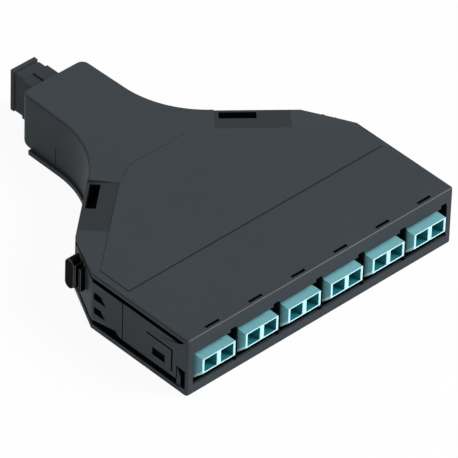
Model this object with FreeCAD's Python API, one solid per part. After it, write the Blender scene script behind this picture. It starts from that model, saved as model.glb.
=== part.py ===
import FreeCAD
import Part
import math
import os

# Fibre cassette: six duplex ports at the front, one multi-fibre port behind.
# X runs along the front, Y from the front to the neck, Z up from the floor.
# All lengths are in millimetres.

# Front row of duplex adapters
ADAPTER_COUNT = 6
PORT_PITCH = 16.4
POST_WIDTH = 2.3
DIVIDER_WIDTH = 0.6

# Housing, seen from above
SIDE_LENGTH = 39.5
CHAMFER_WIDTH = 7.8
CHAMFER_LENGTH = 15.5
WEDGE_LENGTH = 26.4
NECK_LENGTH = 32.1
NECK_ROOT_HALF_WIDTH = 12.7
NECK_TAPER = 0.7
NECK_ROOT_RADIUS = 32.0
NECK_CORNER_RADIUS = 2.5
FRONT_CORNER_RADIUS = 0.9

# Housing, from the floor up
FLOOR_THICKNESS = 1.6
SEAT_HEIGHT = 1.2
ADAPTER_HEIGHT = 9.2
WINDOW_HEADROOM = 2.3
STRIP_HEIGHT = 4.2
COVER_PLATE_THICKNESS = 1.3
WALL_THICKNESS = 1.6
RIM_GAP = 0.8
TOP_EDGE_ROUND = 0.7

# Tray neck and its flange
TRAY_NECK_FLANGE = 1.1
TRAY_NECK_SETBACK = 4.5

# Front frame
FRAME_DEPTH = 2.2
LIP_HEIGHT = 2.1
LIP_EDGE = 0.75
RELIEF_WIDTH = 2.1
RELIEF_HEIGHT = 1.1

# Raised panel on the cover with the sloped shoulders beside it
PANEL_RISE = 0.2
PANEL_MARGIN = 2.5
PANEL_LENGTH = 41.0
PANEL_FRONT_Y = 27.0
PANEL_REAR_HALF_WIDTH = 11.0
SHOULDER_SETBACK = 0.9
SHOULDER_ALONG = 25.0
SHOULDER_MARGIN = 9.45
SHOULDER_SLOPE = math.radians(4.0)
SHOULDER_REACH = 16.0
GROOVE_WIDTH = 0.3
GROOVE_DEPTH = 0.25

# Openings in the cover
FRONT_SLOT_LENGTH = 5.1
FRONT_SLOT_WIDTH = 1.0
FRONT_SLOT_Y = 1.5
SNAP_WINDOW_LENGTH = 11.0
SNAP_WINDOW_WIDTH = 3.15
SNAP_WINDOW_INSET = 1.0
SNAP_WINDOW_ALONG = 18.3
SNAP_LEDGE_DEPTH = 5.6
SNAP_NOSE_HEIGHT = 2.2
NECK_SLIT_SETBACK = 15.5
NECK_SLIT_HEIGHT = 6.8
NECK_SLIT_WIDTH = 0.3
NECK_HEEL_RADIUS = 4.0

# Side walls and their groove
RAIL_GROOVE_HEIGHT = 2.2
RAIL_GROOVE_DEPTH = 2.0
RAIL_GROOVE_FRONT = 3.0
SHELF_THICKNESS = 0.7
SEAM_GAP = 0.2
PAD_FRONT = 6.6
PAD_LENGTH = 10.2
PAD_LIFT = 1.4
PAD_HEIGHT = 7.4
PAD_SLIT = 0.6
PAD_SLOT_INSET = 2.5
PAD_SLOT_DEPTH = 1.0
PAD_SLOT_LIFT = 1.2
PAD_SLOT_HEIGHT = 2.7
NOTCH_FRONT = 0.8
NOTCH_LENGTH = 3.7
NOTCH_LIFT = 0.4
NOTCH_HEIGHT = 6.5
NOTCH_DEPTH = 1.45

# Release latches
LATCH_SIDE_LENGTH = 13.0
LATCH_END_GAP = 1.0
LATCH_LIFT = 1.5
LATCH_JOG_RISE = 1.3
LATCH_JOG_LENGTH = 3.0
PADDLE_SETBACK = 9.6
PADDLE_WIDTH = 3.6
PADDLE_HEIGHT = 10.3
PADDLE_DROP = 1.1
PADDLE_SINK = 1.85
GRIP_RIB_WIDTH = 0.8
GRIP_RIB_SINK = 0.6
GRIP_RIB_DROP = 8.7
GRIP_RIB_SETBACKS = (5.7, 7.9)
TOOTH_SETBACK = 1.1
TOOTH_LENGTH = 3.0
TOOTH_HEIGHT = 2.15
TOOTH_RAMP = 1.7
TOOTH_DROP = 6.5
TOOTH_SPACING = 5.1

# Duplex adapters
ADAPTER_WIDTH = 12.5
ADAPTER_STAND = 1.7
ADAPTER_LENGTH = 27.0
ADAPTER_CHIN = 4.1
ADAPTER_TOP_RIM = 0.35
PORT_WIDTH = 4.8
PORT_HEIGHT = 4.5
PORT_SPACING = 6.25
CENTRE_WALL = 1.6
BARREL_RADIUS = 1.45
BARREL_HALF_LENGTH = 4.4
SLEEVE_HALF_LENGTH = 3.4
SLEEVE_RADIUS = 0.8
SLEEVE_WALL = 0.15
SLEEVE_SLOT = 0.25
BORE_PLAY = 0.05
LATCH_CHANNEL_WIDTH = 3.0
LATCH_CHANNEL_DEPTH = 2.5
COLLAR_REACH = 1.3
COLLAR_RISE = 0.9

# Plugs behind the adapters
FERRULE_RADIUS = 0.625
FERRULE_LENGTH = 7.6
PLUG_WIDTH = 4.3
PLUG_STAND = 5.7
PLUG_SOCKET_PLAY = 0.3
BOOT_FRONT_RADIUS = 1.6
BOOT_REAR_RADIUS = 1.0
BOOT_LENGTH = 13.0
YOKE_LENGTH = 3.8
YOKE_WALL = 0.8

# Fibres and the fan-out block
FIBRE_RADIUS = 0.45
FIBRE_BEND = 8.0
FIBRE_INNER_BEND = 8.0
FANOUT_PITCH = 1.0
FANOUT_SETBACK = 39.5
FANOUT_LENGTH = 6.0
FANOUT_CHEEK = 0.65
FANOUT_HEIGHT = 4.0
BUNDLE_RADIUS = 1.2

# Multi-fibre connector in the neck
MULTI_LIFT = 0.4
MULTI_HEIGHT = 14.7
MULTI_WIDTH = 9.3
MULTI_LENGTH = 25.9
MULTI_STAND = 12.9
MULTI_STEP_LENGTH = 5.4
MULTI_STEP = 0.25
MULTI_FLANGE_LENGTH = 1.5
MULTI_FLANGE_STEP = 0.35
MULTI_GROOVE_WIDTH = 0.5
MULTI_GROOVE_DEPTH = 0.4
MULTI_SHOULDER_DEPTH = 0.55
MULTI_SHOULDER_X = 0.6
MULTI_NOTCH_WIDTH = 2.2
MULTI_NOTCH_LENGTH = 0.9
MULTI_NOTCH_DEPTH = 0.8
MULTI_KEY_DEPTH = 0.35
MULTI_SHELL = 1.0
MULTI_WALL_SETBACK = 0.7
MULTI_WALL = 1.2
MULTI_PLUG_PLAY = 0.2
MULTI_PLUG_LENGTH = 23.4
MULTI_COLLAR_SETBACK = 6.5
MULTI_COLLAR = 1.6
MULTI_COLLAR_REACH = 2.25
BLOCK_FERRULE_HEIGHT = 6.4
BLOCK_FERRULE_WIDTH = 2.45
BLOCK_FERRULE_LENGTH = 8.0
GUIDE_PIN_RADIUS = 0.35
GUIDE_PIN_SPACING = 4.6
GUIDE_PIN_LENGTH = 9.6
GUIDE_PIN_STAND = 2.0
MULTI_BOOT_LENGTH = 7.0

# Clearances
SLIDE_PLAY = 0.2
HOLE_PLAY = 0.1
OVERLAP = 0.3

# Places that follow from the sizes above
POST_INNER_X = PORT_PITCH * ADAPTER_COUNT / 2
HOUSING_HALF_WIDTH = POST_INNER_X + POST_WIDTH
CHAMFER_END_X = HOUSING_HALF_WIDTH - CHAMFER_WIDTH
CHAMFER_END_Y = SIDE_LENGTH + CHAMFER_LENGTH
NECK_ROOT_Y = CHAMFER_END_Y + WEDGE_LENGTH
NECK_REAR_Y = NECK_ROOT_Y + NECK_LENGTH
NECK_REAR_X = NECK_ROOT_HALF_WIDTH - NECK_TAPER
TRAY_NECK_HALF_WIDTH = NECK_REAR_X + TRAY_NECK_FLANGE
TRAY_NECK_REAR_Y = NECK_REAR_Y - TRAY_NECK_SETBACK
ADAPTER_BOTTOM = FLOOR_THICKNESS + SEAT_HEIGHT
ADAPTER_TOP = ADAPTER_BOTTOM + ADAPTER_HEIGHT
STRIP_BOTTOM = ADAPTER_TOP + WINDOW_HEADROOM
COVER_UNDERSIDE = STRIP_BOTTOM + STRIP_HEIGHT
HOUSING_HEIGHT = COVER_UNDERSIDE + COVER_PLATE_THICKNESS
SIDE_WALL_TOP = COVER_UNDERSIDE - RIM_GAP
LIP_TOP = FLOOR_THICKNESS + LIP_HEIGHT
GROOVE_TOP = FLOOR_THICKNESS + RAIL_GROOVE_HEIGHT
LATCH_SEAM_Y = SIDE_LENGTH - LATCH_SIDE_LENGTH
LATCH_LOW_EDGE = FLOOR_THICKNESS + LATCH_LIFT
PANEL_HALF_WIDTH = HOUSING_HALF_WIDTH - PANEL_MARGIN
PANEL_REAR_Y = PANEL_FRONT_Y + PANEL_LENGTH
ADAPTER_FRONT_Y = -ADAPTER_STAND
ADAPTER_REAR_Y = ADAPTER_FRONT_Y + ADAPTER_LENGTH
ADAPTER_MIDDLE_Y = (ADAPTER_FRONT_Y + ADAPTER_REAR_Y) / 2
PORT_TOP = ADAPTER_TOP - ADAPTER_TOP_RIM
PORT_FLOOR = PORT_TOP - PORT_HEIGHT
PORT_AXIS_Z = PORT_TOP - PORT_HEIGHT / 2
PLUG_REAR_Y = ADAPTER_REAR_Y + PLUG_STAND
BOOT_REAR_Y = PLUG_REAR_Y + BOOT_LENGTH
FANOUT_FRONT_Y = NECK_REAR_Y - FANOUT_SETBACK
FANOUT_REAR_Y = FANOUT_FRONT_Y + FANOUT_LENGTH
FANOUT_HALF_WIDTH = FANOUT_PITCH * (ADAPTER_COUNT - 0.5) + FIBRE_RADIUS + FANOUT_CHEEK
MULTI_BOTTOM = FLOOR_THICKNESS + MULTI_LIFT
MULTI_AXIS_Z = MULTI_BOTTOM + MULTI_HEIGHT / 2
MULTI_REAR_Y = NECK_REAR_Y + MULTI_STAND
MULTI_FRONT_Y = MULTI_REAR_Y - MULTI_LENGTH
MULTI_FLANGE_Y = MULTI_REAR_Y - MULTI_FLANGE_LENGTH
MULTI_TOP = MULTI_BOTTOM + MULTI_HEIGHT
MULTI_STEP_Y = MULTI_REAR_Y - MULTI_STEP_LENGTH
MULTI_PORT_WIDTH = MULTI_WIDTH - 2 * MULTI_SHELL
MULTI_PORT_HEIGHT = MULTI_HEIGHT - 2 * (MULTI_SHELL + HOLE_PLAY)
MULTI_WALL_Y = NECK_REAR_Y - MULTI_WALL_SETBACK
MULTI_PLUG_WIDTH = MULTI_PORT_WIDTH - 2 * MULTI_PLUG_PLAY
MULTI_PLUG_HEIGHT = MULTI_PORT_HEIGHT - 2 * MULTI_PLUG_PLAY
MULTI_PLUG_REAR_Y = MULTI_WALL_Y - 2 * SLIDE_PLAY
MULTI_PLUG_FRONT_Y = MULTI_PLUG_REAR_Y - MULTI_PLUG_LENGTH
MULTI_COLLAR_Y = NECK_REAR_Y - MULTI_COLLAR_SETBACK
MULTI_COLLAR_HALF_WIDTH = MULTI_WIDTH / 2 + MULTI_COLLAR_REACH
BLOCK_FERRULE_REAR_Y = MULTI_WALL_Y + 4 * SLIDE_PLAY
MULTI_BOOT_FRONT_Y = MULTI_PLUG_FRONT_Y - MULTI_BOOT_LENGTH
CENTRE_Y = (ADAPTER_FRONT_Y + MULTI_REAR_Y) / 2


def vec(x, y, z=0.0):
    return FreeCAD.Vector(x, y, z)


def box(x0, x1, y0, y1, z0, z1):
    return Part.makeBox(x1 - x0, y1 - y0, z1 - z0, vec(x0, y0, z0))


def prism(points, z0, z1):
    loop = [vec(x, y, z0) for x, y in points]
    loop.append(loop[0])
    return Part.Face(Part.makePolygon(loop)).extrude(vec(0, 0, z1 - z0))


def side_profile(points, x0, x1):
    # Points are given as (y, z); the shape runs along X.
    loop = [vec(x0, y, z) for y, z in points]
    loop.append(loop[0])
    return Part.Face(Part.makePolygon(loop)).extrude(vec(x1 - x0, 0, 0))


def rod(x, z, radius, y0, y1):
    return Part.makeCylinder(radius, y1 - y0, vec(x, y0, z), vec(0, 1, 0))


def joined(shapes):
    first = shapes[0]
    if len(shapes) == 1:
        return first
    return first.fuse(shapes[1:]).removeSplitter()


def less(shape, cutters):
    return shape.cut(cutters)


def mirrored(shape):
    return shape.mirror(vec(0, 0), vec(1, 0, 0))


def corner_points(before, here, after, radius):
    to_before = (before - here).normalize()
    to_after = (after - here).normalize()
    half = to_before.getAngle(to_after) / 2
    reach = radius / math.tan(half)
    middle = (to_before + to_after).normalize()
    centre = here + middle * (radius / math.sin(half))
    return here + to_before * reach, centre - middle * radius, here + to_after * reach


def rounded_face(corners, z):
    # Corners are (x, y, radius) in order; a radius of zero keeps a corner sharp.
    spots = [vec(x, y, z) for x, y, _ in corners]
    edges = []
    ends = []
    for i, (_, _, radius) in enumerate(corners):
        here = spots[i]
        after = spots[(i + 1) % len(spots)]
        if radius > 0:
            start, middle, end = corner_points(spots[i - 1], here, after, radius)
            edges.append(Part.Arc(start, middle, end).toShape())
        else:
            start = end = here
        ends.append((start, end))
    for i in range(len(ends)):
        edges.append(Part.LineSegment(ends[i - 1][1], ends[i][0]).toShape())
    return Part.Face(Part.Wire(Part.__sortEdges__(edges)))


def both_sides(right_half):
    left_half = [(-x, y, radius) for x, y, radius in reversed(right_half)]
    return right_half + left_half


def housing_corners(inset=0.0):
    angle = math.atan2(CHAMFER_LENGTH, CHAMFER_WIDTH)
    wedge = math.atan2(WEDGE_LENGTH, CHAMFER_END_X - NECK_ROOT_HALF_WIDTH)
    side_x = HOUSING_HALF_WIDTH - inset
    side_y = SIDE_LENGTH - inset * math.tan((math.pi / 2 - angle) / 2)
    bend = (angle - wedge) / 2
    middle = (angle + wedge) / 2
    shift = inset / math.cos(bend)
    wedge_x = CHAMFER_END_X - shift * math.sin(middle)
    wedge_y = CHAMFER_END_Y - shift * math.cos(middle)
    root_x = NECK_ROOT_HALF_WIDTH - inset
    root_y = wedge_y + (wedge_x - root_x) * math.tan(wedge)
    front_radius = max(FRONT_CORNER_RADIUS - inset, 0)
    rear_radius = max(NECK_CORNER_RADIUS - inset, 0)
    return both_sides([
        (side_x, inset, front_radius),
        (side_x, side_y, 0),
        (wedge_x, wedge_y, 0),
        (root_x, root_y, NECK_ROOT_RADIUS + inset),
        (NECK_REAR_X - inset, NECK_REAR_Y - inset, rear_radius),
    ])


def wedge_direction():
    return vec(NECK_ROOT_HALF_WIDTH - CHAMFER_END_X, WEDGE_LENGTH).normalize()


def wedge_bar(along0, along1, inset0, inset1, z0, z1):
    # A bar beside the wedge wall, measured from the outer face behind the snap window.
    along = wedge_direction()
    inward = vec(-along.y, along.x)
    outer = vec(CHAMFER_END_X, CHAMFER_END_Y) + along * SNAP_WINDOW_ALONG
    steps = [(along0, inset0), (along1, inset0), (along1, inset1), (along0, inset1)]
    spots = [outer + along * a + inward * b for a, b in steps]
    return prism([(spot.x, spot.y) for spot in spots], z0, z1)


def adapter_centres():
    first = -PORT_PITCH * (ADAPTER_COUNT - 1) / 2
    return [first + PORT_PITCH * i for i in range(ADAPTER_COUNT)]


def port_centres(centre):
    return [centre - PORT_SPACING / 2, centre + PORT_SPACING / 2]


def divider_centres():
    return [centre + PORT_PITCH / 2 for centre in adapter_centres()[:-1]]


def top_edges(shape, height):
    return [edge for edge in shape.Edges if abs(edge.BoundBox.ZMin - height) < 0.001]


def shoulder_line():
    # The foot of the slope, from beside the chamfer to beside the neck root.
    along = wedge_direction()
    inward = vec(-along.y, along.x)
    start = vec(PANEL_HALF_WIDTH, SIDE_LENGTH - SHOULDER_SETBACK)
    end = vec(CHAMFER_END_X, CHAMFER_END_Y) + along * SHOULDER_ALONG + inward * SHOULDER_MARGIN
    return start, end


def shoulder_cutter():
    start, end = shoulder_line()
    along = (end - start).normalize()
    outward = vec(along.y, -along.x)
    if outward.y < 0:
        outward = outward * -1
    start = start - along * SHOULDER_REACH
    drop = SHOULDER_REACH * math.tan(SHOULDER_SLOPE)
    top = HOUSING_HEIGHT
    lift = PANEL_RISE + OVERLAP
    loop = [
        start + vec(0, 0, top),
        start + outward * SHOULDER_REACH + vec(0, 0, top - drop),
        start + outward * SHOULDER_REACH + vec(0, 0, top + lift),
        start + vec(0, 0, top + lift),
    ]
    loop.append(loop[0])
    return Part.Face(Part.makePolygon(loop)).extrude(end - start)


def panel_half():
    start, end = shoulder_line()
    return [
        (PANEL_HALF_WIDTH, PANEL_FRONT_Y),
        (start.x, start.y),
        (end.x, end.y),
        (PANEL_REAR_HALF_WIDTH, PANEL_REAR_Y),
    ]


def raised_panel():
    right = panel_half()
    left = [(-x, y) for x, y in reversed(right)]
    return prism(right + left, HOUSING_HEIGHT - OVERLAP, HOUSING_HEIGHT + PANEL_RISE)


def panel_grooves():
    z0 = HOUSING_HEIGHT - GROOVE_DEPTH
    z1 = HOUSING_HEIGHT + PANEL_RISE + OVERLAP
    front = box(-PANEL_HALF_WIDTH, PANEL_HALF_WIDTH, PANEL_FRONT_Y - GROOVE_WIDTH, PANEL_FRONT_Y, z0, z1)
    rear_y = PANEL_REAR_Y + GROOVE_WIDTH
    rear = box(-PANEL_REAR_HALF_WIDTH, PANEL_REAR_HALF_WIDTH, PANEL_REAR_Y, rear_y, z0, z1)
    return [front, rear]


def front_slots():
    slots = []
    for centre in adapter_centres():
        x0 = centre - FRONT_SLOT_LENGTH / 2
        y0 = FRONT_SLOT_Y - FRONT_SLOT_WIDTH / 2
        y1 = FRONT_SLOT_Y + FRONT_SLOT_WIDTH / 2
        x1 = x0 + FRONT_SLOT_LENGTH
        slots.append(box(x0, x1, y0, y1, COVER_UNDERSIDE - OVERLAP, HOUSING_HEIGHT + OVERLAP))
    return slots


def snap_window():
    half = SNAP_WINDOW_LENGTH / 2
    inner = SNAP_WINDOW_INSET + SNAP_WINDOW_WIDTH
    ledge = COVER_UNDERSIDE - SNAP_LEDGE_DEPTH
    return wedge_bar(-half, half, SNAP_WINDOW_INSET, inner, ledge, HOUSING_HEIGHT + OVERLAP)


def cover_walls():
    outer = rounded_face(housing_corners(), FLOOR_THICKNESS)
    inner = rounded_face(housing_corners(WALL_THICKNESS), FLOOR_THICKNESS)
    height = vec(0, 0, COVER_UNDERSIDE - FLOOR_THICKNESS + OVERLAP)
    ring = outer.extrude(height).cut(inner.extrude(height))
    wall_start = CHAMFER_END_Y - OVERLAP
    reach = HOUSING_HALF_WIDTH + OVERLAP
    return ring.cut(box(-reach, reach, -OVERLAP, wall_start, 0, HOUSING_HEIGHT))


def heel_cutter():
    y0 = NECK_REAR_Y - NECK_HEEL_RADIUS
    z1 = FLOOR_THICKNESS + NECK_HEEL_RADIUS
    block = box(-TRAY_NECK_HALF_WIDTH, TRAY_NECK_HALF_WIDTH, y0, NECK_REAR_Y + OVERLAP, 0, z1)
    round_start = vec(-TRAY_NECK_HALF_WIDTH - OVERLAP, y0, z1)
    length = 2 * (TRAY_NECK_HALF_WIDTH + OVERLAP)
    return block.cut(Part.makeCylinder(NECK_HEEL_RADIUS, length, round_start, vec(1, 0, 0)))


def multi_port_opening():
    half = MULTI_WIDTH / 2 + MULTI_STEP + SLIDE_PLAY
    top = MULTI_BOTTOM + MULTI_HEIGHT + SLIDE_PLAY
    return box(-half, half, NECK_REAR_Y - 2 * WALL_THICKNESS, NECK_REAR_Y + OVERLAP, 0, top)


def neck_slits():
    half = NECK_SLIT_WIDTH / 2
    reach = TRAY_NECK_HALF_WIDTH
    y = NECK_REAR_Y - NECK_SLIT_SETBACK
    return box(-reach, reach, y - half, y + half, 0, FLOOR_THICKNESS + NECK_SLIT_HEIGHT)


def hold_down_bar():
    y0 = ADAPTER_REAR_Y - 3 * WALL_THICKNESS
    half = HOUSING_HALF_WIDTH - 2 * WALL_THICKNESS
    return box(-half, half, y0, y0 + WALL_THICKNESS, ADAPTER_TOP, COVER_UNDERSIDE + OVERLAP)


def cover_collar_ribs():
    y0 = MULTI_COLLAR_Y + MULTI_COLLAR + SLIDE_PLAY
    x0 = MULTI_WIDTH / 2 + MULTI_STEP + SLIDE_PLAY
    x1 = NECK_REAR_X - WALL_THICKNESS / 2
    rib = box(x0, x1, y0, y0 + WALL_THICKNESS, MULTI_AXIS_Z, COVER_UNDERSIDE + OVERLAP)
    return [rib, mirrored(rib)]


def top_cover():
    plate = rounded_face(housing_corners(), COVER_UNDERSIDE).extrude(vec(0, 0, COVER_PLATE_THICKNESS))
    plate = plate.makeFillet(TOP_EDGE_ROUND, top_edges(plate, HOUSING_HEIGHT))
    shoulder = shoulder_cutter()
    plate = less(plate, [shoulder, mirrored(shoulder)])
    body = joined([plate, raised_panel(), cover_walls(), hold_down_bar()] + cover_collar_ribs())
    window = snap_window()
    cutters = [window, mirrored(window), heel_cutter(), multi_port_opening(), neck_slits()]
    return less(body, cutters + front_slots() + panel_grooves())


def tray_floor():
    corners = housing_corners()
    widened = []
    for x, y, radius in corners:
        side = math.copysign(1, x)
        if abs(y - NECK_REAR_Y) < OVERLAP:
            widened.append((side * TRAY_NECK_HALF_WIDTH, TRAY_NECK_REAR_Y, 0))
        elif y > CHAMFER_END_Y + OVERLAP:
            widened.append((side * (TRAY_NECK_HALF_WIDTH + OVERLAP), y, radius))
        else:
            widened.append((x, y, radius))
    return rounded_face(widened, 0).extrude(vec(0, 0, FLOOR_THICKNESS))


def lip_profile():
    slope_end = LIP_EDGE + LIP_TOP - FLOOR_THICKNESS
    points = [(0, 0), (0, LIP_TOP), (LIP_EDGE, LIP_TOP), (slope_end, FLOOR_THICKNESS), (slope_end, 0)]
    return side_profile(points, -POST_INNER_X - OVERLAP, POST_INNER_X + OVERLAP)


def front_frame():
    block = rounded_face(housing_corners(), 0).extrude(vec(0, 0, COVER_UNDERSIDE))
    reach = HOUSING_HALF_WIDTH + OVERLAP
    frame = block.common(box(-reach, reach, -OVERLAP, FRAME_DEPTH, 0, COVER_UNDERSIDE))
    window = box(-POST_INNER_X, POST_INNER_X, -OVERLAP, FRAME_DEPTH + OVERLAP, 0, STRIP_BOTTOM)
    frame = frame.cut(window)
    reliefs = []
    for centre in adapter_centres():
        x1 = centre + PORT_PITCH / 2 - DIVIDER_WIDTH / 2
        z1 = STRIP_BOTTOM + RELIEF_HEIGHT
        y1 = FRAME_DEPTH + OVERLAP
        reliefs.append(box(x1 - RELIEF_WIDTH, x1, -OVERLAP, y1, STRIP_BOTTOM - OVERLAP, z1))
    return frame.cut(reliefs)


def partitions():
    pieces = []
    half = DIVIDER_WIDTH / 2
    low_top = ADAPTER_TOP - SLIDE_PLAY
    stub_reach = PORT_PITCH / 2 - ADAPTER_WIDTH / 2 - OVERLAP
    collar = CENTRE_WALL / 2 + SLIDE_PLAY
    for centre in divider_centres():
        pieces.append(box(centre - half, centre + half, 0, FRAME_DEPTH, 0, STRIP_BOTTOM + OVERLAP))
        pieces.append(box(centre - half, centre + half, FRAME_DEPTH, ADAPTER_REAR_Y, 0, low_top))
        for y0 in (ADAPTER_MIDDLE_Y - collar - WALL_THICKNESS, ADAPTER_MIDDLE_Y + collar):
            pieces.append(box(centre - stub_reach, centre + stub_reach, y0, y0 + WALL_THICKNESS, 0, low_top))
    return pieces


def adapter_seats():
    reach = HOUSING_HALF_WIDTH - RAIL_GROOVE_DEPTH - WALL_THICKNESS / 2
    spots = (ADAPTER_FRONT_Y + ADAPTER_LENGTH / 4, ADAPTER_REAR_Y - ADAPTER_LENGTH / 4)
    return [box(-reach, reach, y, y + WALL_THICKNESS, 0, ADAPTER_BOTTOM) for y in spots]


def side_wall():
    outer_x = HOUSING_HALF_WIDTH
    wall_x = outer_x - WALL_THICKNESS
    groove_x = outer_x - RAIL_GROOVE_DEPTH
    inner_x = groove_x - SHELF_THICKNESS
    seam = LATCH_SEAM_Y - SEAM_GAP / 2
    low_rear = SIDE_LENGTH
    shelf_top = GROOVE_TOP + SHELF_THICKNESS
    low_top = LATCH_LOW_EDGE - OVERLAP
    front = FRAME_DEPTH - OVERLAP
    wall = box(wall_x, outer_x, front, seam, GROOVE_TOP, SIDE_WALL_TOP)
    shelf = box(inner_x, wall_x + OVERLAP, front, seam, GROOVE_TOP, shelf_top)
    low_front = box(inner_x, groove_x, front, seam, 0, GROOVE_TOP + OVERLAP)
    low_back = box(inner_x, groove_x, seam - OVERLAP, low_rear, 0, low_top)
    corner_fill = box(groove_x, outer_x, front, RAIL_GROOVE_FRONT, 0, GROOVE_TOP + OVERLAP)
    wall = joined([wall, shelf, low_front, low_back, corner_fill])
    return less(wall, side_pad_slits() + [side_pad_slot()])


def side_pad_slits():
    x0 = HOUSING_HALF_WIDTH - WALL_THICKNESS - OVERLAP
    x1 = HOUSING_HALF_WIDTH + OVERLAP
    z0 = GROOVE_TOP + PAD_LIFT
    z1 = z0 + PAD_HEIGHT
    top = box(x0, x1, PAD_FRONT - PAD_SLIT, PAD_FRONT + PAD_LENGTH, z1, z1 + PAD_SLIT)
    front = box(x0, x1, PAD_FRONT - PAD_SLIT, PAD_FRONT, z0, z1 + PAD_SLIT)
    return [top, front]


def side_pad_slot():
    z0 = GROOVE_TOP + PAD_LIFT + PAD_SLOT_LIFT
    y0 = PAD_FRONT + PAD_SLOT_INSET
    y1 = PAD_FRONT + PAD_LENGTH - PAD_SLOT_INSET
    x0 = HOUSING_HALF_WIDTH - PAD_SLOT_DEPTH
    return box(x0, HOUSING_HALF_WIDTH + OVERLAP, y0, y1, z0, z0 + PAD_SLOT_HEIGHT)


def front_notch():
    x0 = HOUSING_HALF_WIDTH - NOTCH_DEPTH
    z0 = FLOOR_THICKNESS + NOTCH_LIFT
    x1 = HOUSING_HALF_WIDTH + OVERLAP
    return box(x0, x1, NOTCH_FRONT, NOTCH_FRONT + NOTCH_LENGTH, z0, z0 + NOTCH_HEIGHT)


def notch_hook():
    x0 = HOUSING_HALF_WIDTH - WALL_THICKNESS
    x1 = HOUSING_HALF_WIDTH - OVERLAP
    rear = NOTCH_FRONT + NOTCH_LENGTH
    tip = NOTCH_FRONT + NOTCH_LENGTH / 2 + OVERLAP
    z1 = FLOOR_THICKNESS + NOTCH_LIFT + NOTCH_HEIGHT
    points = [(tip, FLOOR_THICKNESS - OVERLAP), (rear, FLOOR_THICKNESS - OVERLAP)]
    points += [(rear, z1 - OVERLAP), (tip, z1 - 2 * WALL_THICKNESS)]
    return side_profile(points, x0, x1)


def cover_tabs():
    tabs = []
    for centre in adapter_centres():
        half = FRONT_SLOT_LENGTH / 2 - SLIDE_PLAY
        y0 = FRONT_SLOT_Y - FRONT_SLOT_WIDTH / 2 + HOLE_PLAY
        y1 = FRONT_SLOT_Y + FRONT_SLOT_WIDTH / 2 - HOLE_PLAY
        z1 = COVER_UNDERSIDE + COVER_PLATE_THICKNESS / 3
        tabs.append(box(centre - half, centre + half, y0, y1, COVER_UNDERSIDE - OVERLAP, z1))
    return tabs


def snap_hook():
    half = SNAP_WINDOW_LENGTH / 2 - 4 * SLIDE_PLAY
    back = WALL_THICKNESS + SLIDE_PLAY
    ledge = COVER_UNDERSIDE - SNAP_LEDGE_DEPTH + HOLE_PLAY
    nose_top = ledge + SNAP_NOSE_HEIGHT
    arm = wedge_bar(-half, half, back, back + WALL_THICKNESS, 0, nose_top)
    nose = wedge_bar(-half, half, SNAP_WINDOW_INSET + HOLE_PLAY, back + OVERLAP, ledge, nose_top)
    return joined([arm, nose])


def fanout_seat():
    pieces = []
    seat_top = PORT_AXIS_Z - FANOUT_HEIGHT / 2
    cheek = FANOUT_HALF_WIDTH + HOLE_PLAY
    for y in (FANOUT_FRONT_Y + WALL_THICKNESS / 2, FANOUT_REAR_Y - WALL_THICKNESS * 1.5):
        y1 = y + WALL_THICKNESS / 2
        pieces.append(box(-cheek - WALL_THICKNESS, cheek + WALL_THICKNESS, y, y1, 0, seat_top))
        for side in (-1, 1):
            x = sorted((side * cheek, side * (cheek + WALL_THICKNESS)))
            pieces.append(box(x[0], x[1], y, y1, 0, PORT_AXIS_Z + OVERLAP))
    return pieces


def neck_ribs():
    inner = MULTI_WIDTH / 2 + MULTI_STEP + SLIDE_PLAY
    outer = NECK_REAR_X - WALL_THICKNESS - 2 * SLIDE_PLAY
    rear = MULTI_COLLAR_Y - SLIDE_PLAY
    rib = box(inner, outer, rear - WALL_THICKNESS, rear, 0, MULTI_AXIS_Z)
    sill = box(-inner - OVERLAP, inner + OVERLAP, rear - WALL_THICKNESS, rear, 0, MULTI_BOTTOM)
    plug_bottom = MULTI_AXIS_Z - MULTI_PLUG_HEIGHT / 2
    y0 = MULTI_PLUG_FRONT_Y + WALL_THICKNESS
    cradle = box(-MULTI_PLUG_WIDTH / 2, MULTI_PLUG_WIDTH / 2, y0, y0 + WALL_THICKNESS, 0, plug_bottom)
    return [rib, mirrored(rib), sill, cradle]


def base_tray():
    wall = side_wall()
    hook = notch_hook()
    snap = snap_hook()
    notch = front_notch()
    body = [tray_floor(), lip_profile(), front_frame(), wall, mirrored(wall), snap, mirrored(snap)]
    body = joined(body + partitions() + adapter_seats() + cover_tabs() + fanout_seat() + neck_ribs())
    groove = box(HOUSING_HALF_WIDTH - RAIL_GROOVE_DEPTH, HOUSING_HALF_WIDTH + OVERLAP,
                 RAIL_GROOVE_FRONT, SIDE_LENGTH, FLOOR_THICKNESS, GROOVE_TOP)
    body = less(body, [notch, mirrored(notch), groove, mirrored(groove)])
    return joined([body, hook, mirrored(hook)])


def chamfer_point(along, inset):
    run = vec(-CHAMFER_WIDTH, CHAMFER_LENGTH).normalize()
    spot = vec(HOUSING_HALF_WIDTH, SIDE_LENGTH) + run * along - vec(run.y, -run.x) * inset
    return spot.x, spot.y


def chamfer_x(y):
    return HOUSING_HALF_WIDTH - (y - SIDE_LENGTH) * CHAMFER_WIDTH / CHAMFER_LENGTH


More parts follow.
